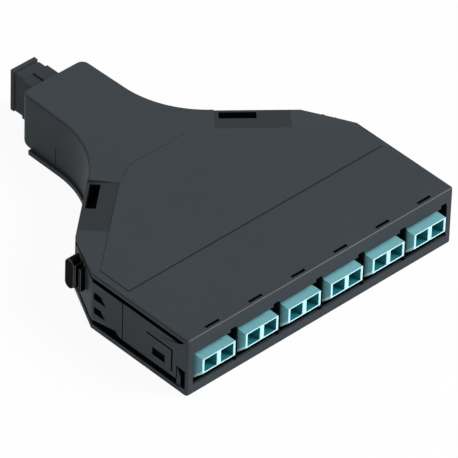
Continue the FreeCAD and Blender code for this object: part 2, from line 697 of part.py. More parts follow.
def latch_arm():
    seam = LATCH_SEAM_Y + SEAM_GAP / 2
    inner_x = HOUSING_HALF_WIDTH - WALL_THICKNESS
    bend = housing_corners(WALL_THICKNESS)[1]
    reach = math.hypot(CHAMFER_WIDTH, CHAMFER_LENGTH) - LATCH_END_GAP
    plan = [(HOUSING_HALF_WIDTH, seam), (HOUSING_HALF_WIDTH, SIDE_LENGTH), chamfer_point(reach, 0)]
    plan += [chamfer_point(reach, WALL_THICKNESS), (bend[0], bend[1]), (inner_x, seam)]
    arm = prism(plan, LATCH_LOW_EDGE, SIDE_WALL_TOP)
    jog = LATCH_SEAM_Y + LATCH_JOG_LENGTH
    low = [(seam, 0), (seam, GROOVE_TOP), (jog - WALL_THICKNESS, GROOVE_TOP)]
    low += [(jog, GROOVE_TOP + LATCH_JOG_RISE)]
    low += [(SIDE_LENGTH, LATCH_LOW_EDGE), (SIDE_LENGTH, 0)]
    return arm.cut(side_profile(low, CHAMFER_END_X, HOUSING_HALF_WIDTH + OVERLAP))


def tooth_openings():
    cutters = []
    x0 = HOUSING_HALF_WIDTH - WALL_THICKNESS - OVERLAP
    x1 = HOUSING_HALF_WIDTH + OVERLAP
    rear = SIDE_LENGTH - TOOTH_SETBACK
    front = rear - TOOTH_LENGTH
    high = SIDE_WALL_TOP - TOOTH_DROP
    for z in (high - TOOTH_SPACING, high):
        points = [(front - TOOTH_RAMP, z), (rear, z), (rear, z + TOOTH_HEIGHT)]
        points += [(front, z + TOOTH_HEIGHT), (front, z + TOOTH_RAMP)]
        cutters.append(side_profile(points, x0, x1))
    return cutters


def paddle():
    x1 = HOUSING_HALF_WIDTH - PADDLE_SINK
    radius = PADDLE_WIDTH / 2
    y0 = SIDE_LENGTH + PADDLE_SETBACK
    y1 = y0 + PADDLE_WIDTH
    z1 = SIDE_WALL_TOP - PADDLE_DROP
    z0 = z1 - PADDLE_HEIGHT
    root = WALL_THICKNESS / 2
    plan = [(x1, y0), (x1, y1), (chamfer_x(y1) - root, y1), (chamfer_x(y0) - root, y0)]
    far = CHAMFER_END_X - WALL_THICKNESS
    outline = [box(far, x1, y0, y1, z0 + radius, z1 - radius)]
    for z in (z0 + radius, z1 - radius):
        outline.append(Part.makeCylinder(radius, x1 - far, vec(far, y0 + radius, z), vec(1, 0, 0)))
    return prism(plan, z0, z1).common(joined(outline))


def grip_ribs():
    ribs = []
    half = GRIP_RIB_WIDTH / 2
    x1 = HOUSING_HALF_WIDTH - GRIP_RIB_SINK
    z0 = SIDE_WALL_TOP - GRIP_RIB_DROP
    for setback in GRIP_RIB_SETBACKS:
        y = SIDE_LENGTH + setback
        x0 = chamfer_x(y) - WALL_THICKNESS / 2
        ribs.append(box(x0, x1, y - half, y + half, z0, SIDE_WALL_TOP))
    return ribs


def release_latch():
    body = joined([latch_arm(), paddle()] + grip_ribs())
    return less(body, tooth_openings())


def adapter_shell(centre):
    chin = ADAPTER_CHIN
    points = [(ADAPTER_FRONT_Y, ADAPTER_BOTTOM + chin), (ADAPTER_FRONT_Y + chin, ADAPTER_BOTTOM)]
    points += [(ADAPTER_REAR_Y, ADAPTER_BOTTOM), (ADAPTER_REAR_Y, ADAPTER_TOP)]
    points += [(ADAPTER_FRONT_Y, ADAPTER_TOP)]
    shell = side_profile(points, centre - ADAPTER_WIDTH / 2, centre + ADAPTER_WIDTH / 2)
    y0 = ADAPTER_MIDDLE_Y - CENTRE_WALL / 2
    half = ADAPTER_WIDTH / 2 + COLLAR_REACH
    z1 = ADAPTER_TOP + COLLAR_RISE
    collar = box(centre - half, centre + half, y0, y0 + CENTRE_WALL, ADAPTER_BOTTOM, z1)
    return joined([shell, collar])


def port_cutters(x):
    half = PORT_WIDTH / 2
    wall0 = ADAPTER_MIDDLE_Y - CENTRE_WALL / 2
    wall1 = ADAPTER_MIDDLE_Y + CENTRE_WALL / 2
    rim = ADAPTER_FRONT_Y + 2 * CENTRE_WALL
    front = box(x - half, x + half, ADAPTER_FRONT_Y - OVERLAP, wall0, PORT_FLOOR, PORT_TOP)
    rear = box(x - half, x + half, wall1, ADAPTER_REAR_Y + OVERLAP, PORT_FLOOR, PORT_TOP)
    channel = LATCH_CHANNEL_WIDTH / 2
    low = PORT_FLOOR - LATCH_CHANNEL_DEPTH
    front_channel = box(x - channel, x + channel, rim, wall0, low, PORT_FLOOR + OVERLAP)
    rear_channel = box(x - channel, x + channel, wall1, ADAPTER_REAR_Y + OVERLAP, low, PORT_FLOOR + OVERLAP)
    return [front, rear, front_channel, rear_channel]


def lc_adapter(centre):
    cutters = []
    barrels = []
    bores = []
    y0 = ADAPTER_MIDDLE_Y - BARREL_HALF_LENGTH
    y1 = ADAPTER_MIDDLE_Y + BARREL_HALF_LENGTH
    s0 = ADAPTER_MIDDLE_Y - SLEEVE_HALF_LENGTH - BORE_PLAY
    s1 = ADAPTER_MIDDLE_Y + SLEEVE_HALF_LENGTH + BORE_PLAY
    for x in port_centres(centre):
        cutters += port_cutters(x)
        barrels.append(rod(x, PORT_AXIS_Z, BARREL_RADIUS, y0, y1))
        bores.append(rod(x, PORT_AXIS_Z, FERRULE_RADIUS + BORE_PLAY, y0 - OVERLAP, y1 + OVERLAP))
        bores.append(rod(x, PORT_AXIS_Z, SLEEVE_RADIUS + BORE_PLAY, s0, s1))
    shell = less(adapter_shell(centre), cutters)
    return less(joined([shell] + barrels), bores)


def split_sleeves(centre):
    sleeves = []
    y0 = ADAPTER_MIDDLE_Y - SLEEVE_HALF_LENGTH
    y1 = ADAPTER_MIDDLE_Y + SLEEVE_HALF_LENGTH
    for x in port_centres(centre):
        tube = rod(x, PORT_AXIS_Z, SLEEVE_RADIUS, y0, y1)
        hollow = rod(x, PORT_AXIS_Z, SLEEVE_RADIUS - SLEEVE_WALL, y0, y1)
        half = SLEEVE_SLOT / 2
        slot = box(x - half, x + half, y0, y1, PORT_AXIS_Z, PORT_AXIS_Z + SLEEVE_RADIUS)
        sleeves.append(less(tube, [hollow, slot]))
    return Part.makeCompound(sleeves)


def plug_body(x):
    half = PLUG_WIDTH / 2
    y0 = ADAPTER_MIDDLE_Y + CENTRE_WALL / 2 + SLIDE_PLAY
    z0 = PORT_AXIS_Z - half
    z1 = PORT_AXIS_Z + half
    return box(x - half, x + half, y0, PLUG_REAR_Y, z0, z1)


def plug_lever(x):
    half = LATCH_CHANNEL_WIDTH / 2 - 2 * SLIDE_PLAY
    top = PORT_AXIS_Z - PLUG_WIDTH / 2
    y0 = ADAPTER_MIDDLE_Y + CENTRE_WALL + OVERLAP
    y1 = PLUG_REAR_Y - YOKE_WALL - YOKE_LENGTH
    low = PORT_FLOOR - LATCH_CHANNEL_DEPTH + SLIDE_PLAY
    thick = FRONT_SLOT_WIDTH
    points = [(y0, top + OVERLAP), (y0, top - OVERLAP), (y1, low), (y1, low + thick)]
    points += [(y0 + 3 * thick, top - OVERLAP), (y0 + 3 * thick, top + OVERLAP)]
    return side_profile(points, x - half, x + half)


def plug_yoke(centre):
    half_x = PORT_SPACING / 2 + PLUG_WIDTH / 2 + YOKE_WALL
    half_z = PLUG_WIDTH / 2 + YOKE_WALL
    y1 = PLUG_REAR_Y - YOKE_WALL
    z0 = PORT_AXIS_Z - half_z
    return box(centre - half_x, centre + half_x, y1 - YOKE_LENGTH, y1, z0, z0 + 2 * half_z)


def lc_plugs(centre):
    pieces = [plug_yoke(centre)]
    bores = []
    socket_end = ADAPTER_MIDDLE_Y + BARREL_HALF_LENGTH + SLIDE_PLAY
    ferrule_end = ADAPTER_MIDDLE_Y + FERRULE_LENGTH
    for x in port_centres(centre):
        pieces += [plug_body(x), plug_lever(x)]
        bores.append(rod(x, PORT_AXIS_Z, BARREL_RADIUS + PLUG_SOCKET_PLAY, ADAPTER_MIDDLE_Y, socket_end))
        bores.append(rod(x, PORT_AXIS_Z, FERRULE_RADIUS, ADAPTER_MIDDLE_Y, ferrule_end))
        bores.append(rod(x, PORT_AXIS_Z, FIBRE_RADIUS, ferrule_end - OVERLAP, PLUG_REAR_Y + OVERLAP))
    return less(joined(pieces), bores)


def lc_ferrules(centre):
    y1 = ADAPTER_MIDDLE_Y + FERRULE_LENGTH
    tip = SLIDE_PLAY
    rods = []
    for x in port_centres(centre):
        start = vec(x, ADAPTER_MIDDLE_Y, PORT_AXIS_Z)
        nose = Part.makeCone(FERRULE_RADIUS - tip, FERRULE_RADIUS, tip, start, vec(0, 1, 0))
        shank = rod(x, PORT_AXIS_Z, FERRULE_RADIUS, ADAPTER_MIDDLE_Y + tip, y1)
        rods.append(joined([nose, shank]))
    return Part.makeCompound(rods)


def lc_boots(centre):
    boots = []
    for x in port_centres(centre):
        start = vec(x, PLUG_REAR_Y, PORT_AXIS_Z)
        cone = Part.makeCone(BOOT_FRONT_RADIUS, BOOT_REAR_RADIUS, BOOT_LENGTH, start, vec(0, 1, 0))
        bore = rod(x, PORT_AXIS_Z, FIBRE_RADIUS, PLUG_REAR_Y - OVERLAP, BOOT_REAR_Y + OVERLAP)
        boots.append(cone.cut(bore))
    return Part.makeCompound(boots)


def fanout_x(order):
    return FANOUT_PITCH * (order - (2 * ADAPTER_COUNT - 1) / 2)


def turned(spot, heading, turn, radius):
    # End and middle of a tangent arc that starts at spot with the given heading.
    side = math.copysign(1, turn)
    normal = vec(-math.sin(heading), math.cos(heading)) * side
    centre = spot + normal * radius
    points = []
    for share in (0.5, 1.0):
        angle = turn * share
        arm = normal * -radius
        swung = vec(arm.x * math.cos(angle) - arm.y * math.sin(angle),
                    arm.x * math.sin(angle) + arm.y * math.cos(angle))
        points.append(centre + swung)
    return points


def fibre_route(x, order):
    # Straight out of the boot, one bend to the middle, one bend back into the block.
    target = fanout_x(order)
    side = math.copysign(1, target - x)
    last_bend = FIBRE_INNER_BEND + (ADAPTER_COUNT - 0.5) * FANOUT_PITCH - abs(target)
    bends = FIBRE_BEND + last_bend
    rest = bends - abs(target - x)
    run = FANOUT_FRONT_Y - BOOT_REAR_Y
    straight = math.sqrt(rest * rest + run * run - bends * bends)
    turn = math.atan2(run, rest) - math.atan2(straight, bends)
    z = vec(0, 0, PORT_AXIS_Z)
    ahead = math.pi / 2
    start = vec(x, ADAPTER_MIDDLE_Y + FERRULE_LENGTH)
    leave = vec(x, BOOT_REAR_Y)
    mid_a, end_a = turned(leave, ahead, -side * turn, FIBRE_BEND)
    heading = ahead - side * turn
    begin_b = end_a + vec(math.cos(heading), math.sin(heading)) * straight
    mid_b, end_b = turned(begin_b, heading, side * turn, last_bend)
    stop = vec(target, (FANOUT_FRONT_Y + FANOUT_REAR_Y) / 2)
    edges = [
        Part.LineSegment(start + z, leave + z),
        Part.Arc(leave + z, mid_a + z, end_a + z),
        Part.LineSegment(end_a + z, begin_b + z),
        Part.Arc(begin_b + z, mid_b + z, end_b + z),
        Part.LineSegment(end_b + z, stop + z),
    ]
    return Part.Wire([edge.toShape() for edge in edges])


def swept(path, radius):
    start = path.Edges[0].Vertexes[0].Point
    ring = Part.Wire([Part.makeCircle(radius, start, vec(0, 1, 0))])
    return path.makePipeShell([ring], True, False)


def fibre_pair(index):
    strands = []
    for step, x in enumerate(port_centres(adapter_centres()[index])):
        strands.append(swept(fibre_route(x, 2 * index + step), FIBRE_RADIUS))
    return Part.makeCompound(strands)


def fanout_block():
    z0 = PORT_AXIS_Z - FANOUT_HEIGHT / 2
    z1 = PORT_AXIS_Z + FANOUT_HEIGHT / 2
    block = box(-FANOUT_HALF_WIDTH, FANOUT_HALF_WIDTH, FANOUT_FRONT_Y, FANOUT_REAR_Y, z0, z1)
    upright = [edge for edge in block.Edges if edge.BoundBox.ZLength > FANOUT_HEIGHT / 2]
    block = block.makeFillet(YOKE_WALL, upright)
    middle = (FANOUT_FRONT_Y + FANOUT_REAR_Y) / 2
    bores = []
    for order in range(2 * ADAPTER_COUNT):
        bores.append(rod(fanout_x(order), PORT_AXIS_Z, FIBRE_RADIUS, FANOUT_FRONT_Y - OVERLAP, middle))
    bores.append(rod(0, MULTI_AXIS_Z, BUNDLE_RADIUS, middle + WALL_THICKNESS, FANOUT_REAR_Y + OVERLAP))
    return less(block, bores)


def fibre_bundle():
    y0 = (FANOUT_FRONT_Y + FANOUT_REAR_Y) / 2 + WALL_THICKNESS
    y1 = BLOCK_FERRULE_REAR_Y - BLOCK_FERRULE_LENGTH
    return rod(0, MULTI_AXIS_Z, BUNDLE_RADIUS, y0, y1)


def upright_box(half_x, y0, y1, half_z):
    return box(-half_x, half_x, y0, y1, MULTI_AXIS_Z - half_z, MULTI_AXIS_Z + half_z)


def mpo_adapter():
    half_x = MULTI_WIDTH / 2
    half_z = MULTI_HEIGHT / 2
    front = upright_box(half_x + MULTI_STEP, MULTI_FRONT_Y, MULTI_STEP_Y, half_z)
    rear = upright_box(half_x - MULTI_FLANGE_STEP, MULTI_STEP_Y, MULTI_FLANGE_Y, half_z - MULTI_STEP)
    flange = upright_box(half_x, MULTI_FLANGE_Y, MULTI_REAR_Y, half_z)
    collar = upright_box(MULTI_COLLAR_HALF_WIDTH, MULTI_COLLAR_Y, MULTI_COLLAR_Y + MULTI_COLLAR, half_z)
    port_x = MULTI_PORT_WIDTH / 2
    port_z = MULTI_PORT_HEIGHT / 2
    wall1 = MULTI_WALL_Y + MULTI_WALL
    cutters = [
        upright_box(port_x, MULTI_FRONT_Y - OVERLAP, MULTI_WALL_Y, port_z),
        upright_box(port_x, wall1, MULTI_REAR_Y + OVERLAP, port_z),
        upright_box(BLOCK_FERRULE_WIDTH / 2 + HOLE_PLAY, MULTI_WALL_Y - OVERLAP, wall1 + OVERLAP,
                    BLOCK_FERRULE_HEIGHT / 2 + HOLE_PLAY),
        multi_keyway(),
        multi_corner_notch(),
        multi_top_groove(),
        multi_shoulder(),
    ]
    return less(joined([front, rear, flange, collar]), cutters)


def multi_keyway():
    half_z = WALL_THICKNESS
    x0 = MULTI_PORT_WIDTH / 2 - OVERLAP
    x1 = MULTI_PORT_WIDTH / 2 + MULTI_KEY_DEPTH
    y0 = MULTI_WALL_Y + MULTI_WALL
    return box(x0, x1, y0, MULTI_REAR_Y + OVERLAP, MULTI_AXIS_Z - half_z, MULTI_AXIS_Z + half_z)


def multi_corner_notch():
    # The end of the groove behind the rear flange is cut deeper on one side.
    x1 = MULTI_WIDTH / 2
    y0 = MULTI_FLANGE_Y - MULTI_NOTCH_LENGTH
    z0 = MULTI_TOP - MULTI_NOTCH_DEPTH
    return box(x1 - MULTI_NOTCH_WIDTH, x1 + OVERLAP, y0, MULTI_FLANGE_Y, z0, MULTI_TOP + OVERLAP)


def multi_top_groove():
    half = MULTI_WIDTH / 2 + OVERLAP
    z0 = MULTI_TOP - MULTI_STEP - MULTI_GROOVE_DEPTH
    return box(-half, half, MULTI_FLANGE_Y - MULTI_GROOVE_WIDTH, MULTI_FLANGE_Y, z0, MULTI_TOP + OVERLAP)


def multi_shoulder():
    # One front corner of the top is lower, from the neck to the step.
    half = MULTI_WIDTH / 2 + MULTI_STEP + OVERLAP
    z0 = MULTI_TOP - MULTI_SHOULDER_DEPTH
    return box(-half, -MULTI_SHOULDER_X, NECK_REAR_Y - OVERLAP, MULTI_STEP_Y, z0, MULTI_TOP + OVERLAP)


def mpo_plug_housing():
    rear = MULTI_PLUG_REAR_Y
    body = upright_box(MULTI_PLUG_WIDTH / 2, MULTI_PLUG_FRONT_Y, rear, MULTI_PLUG_HEIGHT / 2)
    long_edges = [edge for edge in body.Edges if edge.BoundBox.YLength > WALL_THICKNESS]
    body = body.makeFillet(YOKE_WALL, long_edges)
    ferrule_front = BLOCK_FERRULE_REAR_Y - BLOCK_FERRULE_LENGTH
    nose = upright_box(BLOCK_FERRULE_WIDTH / 2 + HOLE_PLAY, ferrule_front, rear + OVERLAP,
                       BLOCK_FERRULE_HEIGHT / 2 + HOLE_PLAY)
    chamber_y = MULTI_PLUG_FRONT_Y + WALL_THICKNESS
    chamber = upright_box(BLOCK_FERRULE_WIDTH / 2 + OVERLAP, chamber_y, ferrule_front,
                          BLOCK_FERRULE_HEIGHT / 2 + OVERLAP)
    hole = rod(0, MULTI_AXIS_Z, BUNDLE_RADIUS, MULTI_PLUG_FRONT_Y - OVERLAP, ferrule_front)
    return less(body, [nose, chamber, hole])


def pin_rods(radius):
    y1 = BLOCK_FERRULE_REAR_Y + GUIDE_PIN_STAND
    rods = []
    for side in (-1, 1):
        z = MULTI_AXIS_Z + side * GUIDE_PIN_SPACING / 2
        rods.append(rod(0, z, radius, y1 - GUIDE_PIN_LENGTH, y1))
    return rods


def mpo_ferrule():
    y0 = BLOCK_FERRULE_REAR_Y - BLOCK_FERRULE_LENGTH
    body = upright_box(BLOCK_FERRULE_WIDTH / 2, y0, BLOCK_FERRULE_REAR_Y, BLOCK_FERRULE_HEIGHT / 2)
    window = box(0, BLOCK_FERRULE_WIDTH, y0 + WALL_THICKNESS, y0 + 3 * WALL_THICKNESS,
                 MULTI_AXIS_Z - WALL_THICKNESS, MULTI_AXIS_Z + WALL_THICKNESS)
    return less(body, pin_rods(GUIDE_PIN_RADIUS) + [window])


def mpo_guide_pins():
    return Part.makeCompound(pin_rods(GUIDE_PIN_RADIUS))


def mpo_boot():
    start = vec(0, MULTI_BOOT_FRONT_Y, MULTI_AXIS_Z)
    wide = MULTI_PLUG_WIDTH / 2 - OVERLAP
    cone = Part.makeCone(BUNDLE_RADIUS + YOKE_WALL, wide, MULTI_BOOT_LENGTH, start, vec(0, 1, 0))
    y0 = MULTI_BOOT_FRONT_Y - OVERLAP
    return cone.cut(rod(0, MULTI_AXIS_Z, BUNDLE_RADIUS, y0, MULTI_PLUG_FRONT_Y + OVERLAP))


def all_parts():
    right_latch = release_latch()
    parts = {
        "base_tray": base_tray(),
        "top_cover": top_cover(),
        "release_latch_left": mirrored(right_latch),
        "release_latch_right": right_latch,
        "fanout_block": fanout_block(),
        "fibre_bundle": fibre_bundle(),
        "mpo_adapter": mpo_adapter(),
        "mpo_plug_housing": mpo_plug_housing(),
        "mpo_ferrule": mpo_ferrule(),
        "mpo_guide_pins": mpo_guide_pins(),
        "mpo_boot": mpo_boot(),
    }
    for index, centre in enumerate(adapter_centres()):
        number = str(index + 1)
        parts["lc_adapter_" + number] = lc_adapter(centre)
        parts["split_sleeves_" + number] = split_sleeves(centre)
        parts["lc_plugs_" + number] = lc_plugs(centre)
        parts["lc_ferrules_" + number] = lc_ferrules(centre)
        parts["lc_boots_" + number] = lc_boots(centre)
        parts["fibre_pair_" + number] = fibre_pair(index)
    return parts


os.makedirs("parts", exist_ok=True)
for name, shape in all_parts().items():
    placed = shape.copy()
    placed.translate(vec(0, -CENTRE_Y, 0))
    placed.exportStep("parts/" + name + ".step")
    print(name, len(placed.Solids), round(placed.Volume, 2), placed.isValid())
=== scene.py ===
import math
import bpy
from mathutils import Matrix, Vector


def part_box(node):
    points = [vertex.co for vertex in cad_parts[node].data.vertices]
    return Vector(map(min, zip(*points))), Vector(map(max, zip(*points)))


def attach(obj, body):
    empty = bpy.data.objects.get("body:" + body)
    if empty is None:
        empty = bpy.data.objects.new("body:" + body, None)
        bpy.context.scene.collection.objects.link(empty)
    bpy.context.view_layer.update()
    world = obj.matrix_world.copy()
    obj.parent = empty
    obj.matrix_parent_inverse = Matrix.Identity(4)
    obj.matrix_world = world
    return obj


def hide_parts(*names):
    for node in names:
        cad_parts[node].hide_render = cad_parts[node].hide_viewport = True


bl_info = {
    "name": "Fibre Cassette",
    "version": (1, 0, 0),
    "blender": (4, 5, 0),
    "location": "View3D > Sidebar > Cassette",
    "description": "Dresses the packed fibre cassette with its moulded finishes, detailed adapters and studio",
    "category": "Object",
}

import bmesh
import bpy
from bpy.props import FloatProperty, FloatVectorProperty, PointerProperty
from mathutils import Matrix, Vector

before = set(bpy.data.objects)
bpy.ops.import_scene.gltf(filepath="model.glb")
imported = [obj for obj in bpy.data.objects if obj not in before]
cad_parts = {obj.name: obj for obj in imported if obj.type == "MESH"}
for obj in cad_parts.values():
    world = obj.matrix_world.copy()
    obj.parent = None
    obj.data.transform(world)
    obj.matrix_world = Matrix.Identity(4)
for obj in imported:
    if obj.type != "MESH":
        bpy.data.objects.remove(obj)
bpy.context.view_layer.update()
MM = 0.001
NEAR = MM / 10
HOUSING = "housing"
FRONT_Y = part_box("lc_adapter_1")[0].y
TRAY_LOW, TRAY_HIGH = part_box("base_tray")
COVER_LOW, COVER_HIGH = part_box("top_cover")

# The seam under the cover: where it starts, its floor, and the span in which that floor is looked for
SEAM_START = TRAY_LOW.y + 3.4 * MM
SEAM_FLOOR = 17.7 * MM
SEAM_WIDTH = 12.0 * MM
SEAM_LENGTH = 60.0 * MM
# The flat top of the lip under the ports
LIP_TOP = 3.7 * MM
LIP_REAR = TRAY_LOW.y + 0.75 * MM
# How much lower the seam's floor and the lip are in the copies
LOWERED = 0.7 * MM

# The slanted walls from the latch to the neck, seen from above on the right side. A tilt is how far a face's
# normal points along an axis.
LATCH_CORNER = Vector((TRAY_HIGH.x, TRAY_LOW.y + 39.5 * MM))
LATCH_OUTWARD = Vector((15.5, 7.8)).normalized()
RIB_TILT = 0.3
CHAMFER_END = Vector((TRAY_HIGH.x - 7.8 * MM, TRAY_LOW.y + 55.0 * MM))
NECK_ROOT = Vector((12.7 * MM, TRAY_LOW.y + 81.4 * MM))
# Where the field beside each cover window ends, and the way along the wall from there; that field is painted
# darker as shade
FIELD_WAY = (NECK_ROOT - CHAMFER_END).normalized()
FIELD_END = CHAMFER_END + FIELD_WAY * 2.9 * MM
# The sloped shoulders: their upward tilts, and a height that they lie above
SHOULDER_TILTS = (0.99, 0.9995)
SHOULDER_BASE = 17.0 * MM

# The narrow groove along the front of the raised panel: painted shade inside it, a painted highlight on its
# rear lip
GROOVE_Y = TRAY_LOW.y + 26.85 * MM
GROOVE_REACH = 0.3 * MM
GROOVE_LIP = 0.1 * MM
GROOVE_MOUTH = 0.02 * MM
GROOVE_TILT = 0.2

# The rounded corner between the front and the top, which gets a painted highlight
CORNER_TILT = 0.55
CORNER_REACH = 1.2 * MM

# The openings between the adapters and behind the lip, which get painted shade
NUMBERS = range(1, 7)
PORT_GAPS = [(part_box("lc_adapter_%d" % number)[1].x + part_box("lc_adapter_%d" % (number + 1))[0].x) / 2
             for number in NUMBERS[:-1]]
GAP_TILT = -0.5
GAP_LOW, GAP_HIGH = 3.8 * MM, 15.5 * MM
GAP_HALF = 2.6 * MM
GAP_FRONT, GAP_REAR = TRAY_LOW.y + 0.3 * MM, TRAY_LOW.y + 3.0 * MM
DIVIDER_HALF, DIVIDER_TOP = 0.5 * MM, 14.2 * MM
LIP_SPAN = (TRAY_LOW.y + 0.8 * MM, TRAY_LOW.y + 9.0 * MM)
LIP_HEIGHTS = (1.5 * MM, 3.8 * MM)
POST_WIDTH = 2.0 * MM

# The slots behind the cover's front edge and the snap window on its right shoulder, seen from above; they get
# painted shade inside
SLOT_SPAN = (COVER_LOW.y + 0.9 * MM, COVER_LOW.y + 2.15 * MM)
SLOT_DEPTH = 1.6 * MM
COVER_FACE = COVER_HIGH.z - 0.25 * MM
OPENING_TOP = COVER_FACE - 0.2 * MM
WINDOW_CORNER = Vector((33.4 * MM, COVER_LOW.y + 62.5 * MM))
WINDOW_ALONG = Vector((25.0 * MM, COVER_LOW.y + 69.6 * MM)) - WINDOW_CORNER
WINDOW_INWARD = Vector((31.2 * MM, COVER_LOW.y + 60.25 * MM)) - WINDOW_CORNER
WINDOW_SPAN = (COVER_LOW.y + 61.5 * MM, COVER_LOW.y + 70.0 * MM)
WINDOW_SIDES = (22.5 * MM, 33.5 * MM)
WINDOW_DEPTH = 3.0 * MM
WINDOW_TILT = 0.9
WINDOW_MARGINS = (0.02, 0.05)

# Hollows of the sides that get painted shade, in millimetres: how deep, from and to along the side, from and to
# above the floor
SIDE_HOLLOWS = (
    (2.2, 2.3, 39.6, 16.8, 18.75),
    (1.7, 26.1, 26.9, 4.5, 17.8),
    (1.7, 5.9, 17.0, 12.5, 13.3),
    (1.7, 5.9, 6.7, 5.1, 13.3),
    (1.1, 9.0, 14.4, 6.3, 9.2),
    (1.5, 0.7, 4.6, 1.9, 8.6),
    (2.1, 2.9, 39.6, 1.5, 3.9),
)
# Hollows of each latch that get painted shade, in the same columns
LATCH_HOLLOWS = (
    (2.2, 26.0, 39.6, 16.8, 18.75),
    (1.7, 26.1, 26.9, 4.5, 17.8),
    (1.7, 33.6, 38.5, 5.9, 13.5),
)
# The outer walls beside those hollows, in millimetres, and their outward tilt
OUTER_SKIN = 0.02
OUTER_WALL = 0.32
OUTWARD_TILT = 0.98

# The material slots on a moulding: plain, dark (painted shade, or the black pad on a latch), painted edge
# highlight and painted field shade; on a front adapter, the painted rim highlight and the painted shade in the
# ports
PLAIN, DARK, EDGE_HIGHLIGHT, FIELD_SHADE = range(4)
RIM_HIGHLIGHT, PORT_SHADE = 1, 2

# How deep the bore of a barrel goes, as a share of the barrel's reach
BORE_SHARE = 0.8

# Tolerances: welded points, a face that looks along a vector, one flat face, a sharp edge, nearly level faces
# and faces that look the same way
WELD = 0.001 * MM
FACING = 0.9
FLAT = math.radians(1.0)
SHARP = math.radians(30.0)
NEARLY_LEVEL = 0.95
SAME_WAY = 0.9999

# The grain of the mouldings: where its clouds begin and are full, its specks, its pits and their depth
CLOUD_RANGE = (0.35, 0.7)
SPECK = 0.12
PIT_RELIEF = 0.45
RELIEF_DEPTH = 0.05 * MM
# Colour sockets of the Mix node
MIX_A, MIX_B, MIX_RESULT = 6, 7, 2

# Finishes of the inner pieces: name, setting, rubbed colour, bump, lowest and highest roughness, nodes
INNER_FINISHES = (
    ("beige_plug", "plug", (0.62, 0.57, 0.45), 0.08, 0.35, 0.5,
     ["lc_plugs_%d" % number for number in NUMBERS]),
    ("white_boot", "boot", (0.8, 0.8, 0.77), 0.1, 0.55, 0.7,
     ["lc_boots_%d" % number for number in NUMBERS]),
    ("white_ceramic", "ceramic", (0.86, 0.85, 0.82), 0.01, 0.08, 0.14,
     ["%s_%d" % (base, number) for base in ("lc_ferrules", "split_sleeves") for number in NUMBERS]),
    ("aqua_jacket", "jacket", (0.12, 0.5, 0.55), 0.05, 0.3, 0.42,
     ["fibre_pair_%d" % number for number in NUMBERS] + ["fibre_bundle"]),
    ("grey_block", "block", (0.32, 0.33, 0.34), 0.12, 0.46, 0.62, ["fanout_block"]),
    ("dark_resin", "resin", (0.05, 0.05, 0.052), 0.08, 0.3, 0.45, ["mpo_plug_housing", "mpo_ferrule"]),
    ("black_rubber", "rubber", (0.03, 0.03, 0.03), 0.2, 0.7, 0.85, ["mpo_boot"]),
    ("polished_steel", "steel", (0.62, 0.63, 0.64), 0.02, 0.12, 0.2, ["mpo_guide_pins"]),
)

# The camera's axes and place, fitted to the corners of the housing in the photograph
CAMERA_RIGHT = Vector((0.72988286, -0.68307958, 0.02594808))
CAMERA_UP = Vector((0.41911397, 0.4771731, 0.77243078))
CAMERA_BACK = Vector((-0.54001342, -0.55290878, 0.63456866))
CAMERA_PLACE = (-0.97889565, -1.02655562, 1.15904472)
SENSOR_WIDTH = 36.0

# The studio: places of the lamps in metres, each lamp's width, and the floor
LAMP_PLACES = {"key": (0.8, -0.9, 1.05), "fill": (-0.9, -0.95, 0.45), "back": (0.5, 1.1, 0.9)}
LAMP_WIDTH = 0.8
FLOOR_WIDTH = 6.0
FLOOR_DROP = 0.2 * MM
PAPER = 0.9
PAPER_GLOW = 0.94


# Property helpers

def length(name, description, default):
    """A size in millimetres, kept in metres."""
    return FloatProperty(name=name, description=description, default=default * MM, unit="LENGTH", precision=5)


def colour(name, description, default):
    """A linear colour."""
    return FloatVectorProperty(name=name, description=description, default=default, subtype="COLOR", size=3,
                               min=0.0, max=1.0)


class FrontAdapterSettings(bpy.types.PropertyGroup):
    """Sizes and colours of the aqua duplex adapters."""
    width: length("Width", "Width of the adapter along the port row", 12.5)
    height: length("Height", "Height of the adapter body", 9.2)
    depth: length("Length", "Length of the adapter from front to back", 27.0)
    bottom: length("Underside", "Height of the adapter's underside above the floor", 2.8)
    chin: length("Chin", "Size of the slanted lower front edge", 4.1)
    port_width: length("Port width", "Width of one port", 4.8)
    port_height: length("Port height", "Height of one port", 4.5)
    port_spacing: length("Port spacing", "Distance between the two port axes", 6.25)
    top_rim: length("Top rim", "Wall above the ports", 0.35)
    wall: length("Middle wall", "Thickness of the wall between front and rear ports", 1.6)
    barrel: length("Barrel radius", "Outer radius of the alignment barrel", 1.45)
    barrel_reach: length("Barrel reach", "How far the barrel stands out of the middle", 4.4)
    bore: length("Bore radius", "Radius of the ferrule's hole", 0.68)
    channel: length("Channel", "Width of the groove for a plug's lever", 3.0)
    channel_depth: length("Channel depth", "Depth of that groove below the port", 2.5)
    channel_start: length("Channel start", "Distance of the front groove from the port's mouth", 3.2)
    collar: length("Collar reach", "How far the middle collar stands out at the sides", 1.3)
    collar_rise: length("Collar rise", "How far the middle collar stands out on top", 0.9)
    lead_in: length("Lead-in", "Slant around each port's mouth", 0.12)
    # Painted highlight: height of the paler band beside the slanted edge
    chin_highlight: length("Chin rim", "Height of the pale rim beside the slanted edge", 1.0)
    edge: length("Edge round", "Radius of the moulded edges", 0.1)
    body_colour: colour("Body", "Colour of the adapter", (0.19, 0.46, 0.51))
    # Painted highlight: the paler aqua of the front face and of the band beside the slanted edge
    rim_highlight_colour: colour("Rim", "Colour of the thin port rims", (0.52, 0.86, 0.92))
    # Painted shade: the deeper aqua inside the ports
    port_shade_colour: colour("Port inside", "Colour deep inside the ports", (0.015, 0.17, 0.205))


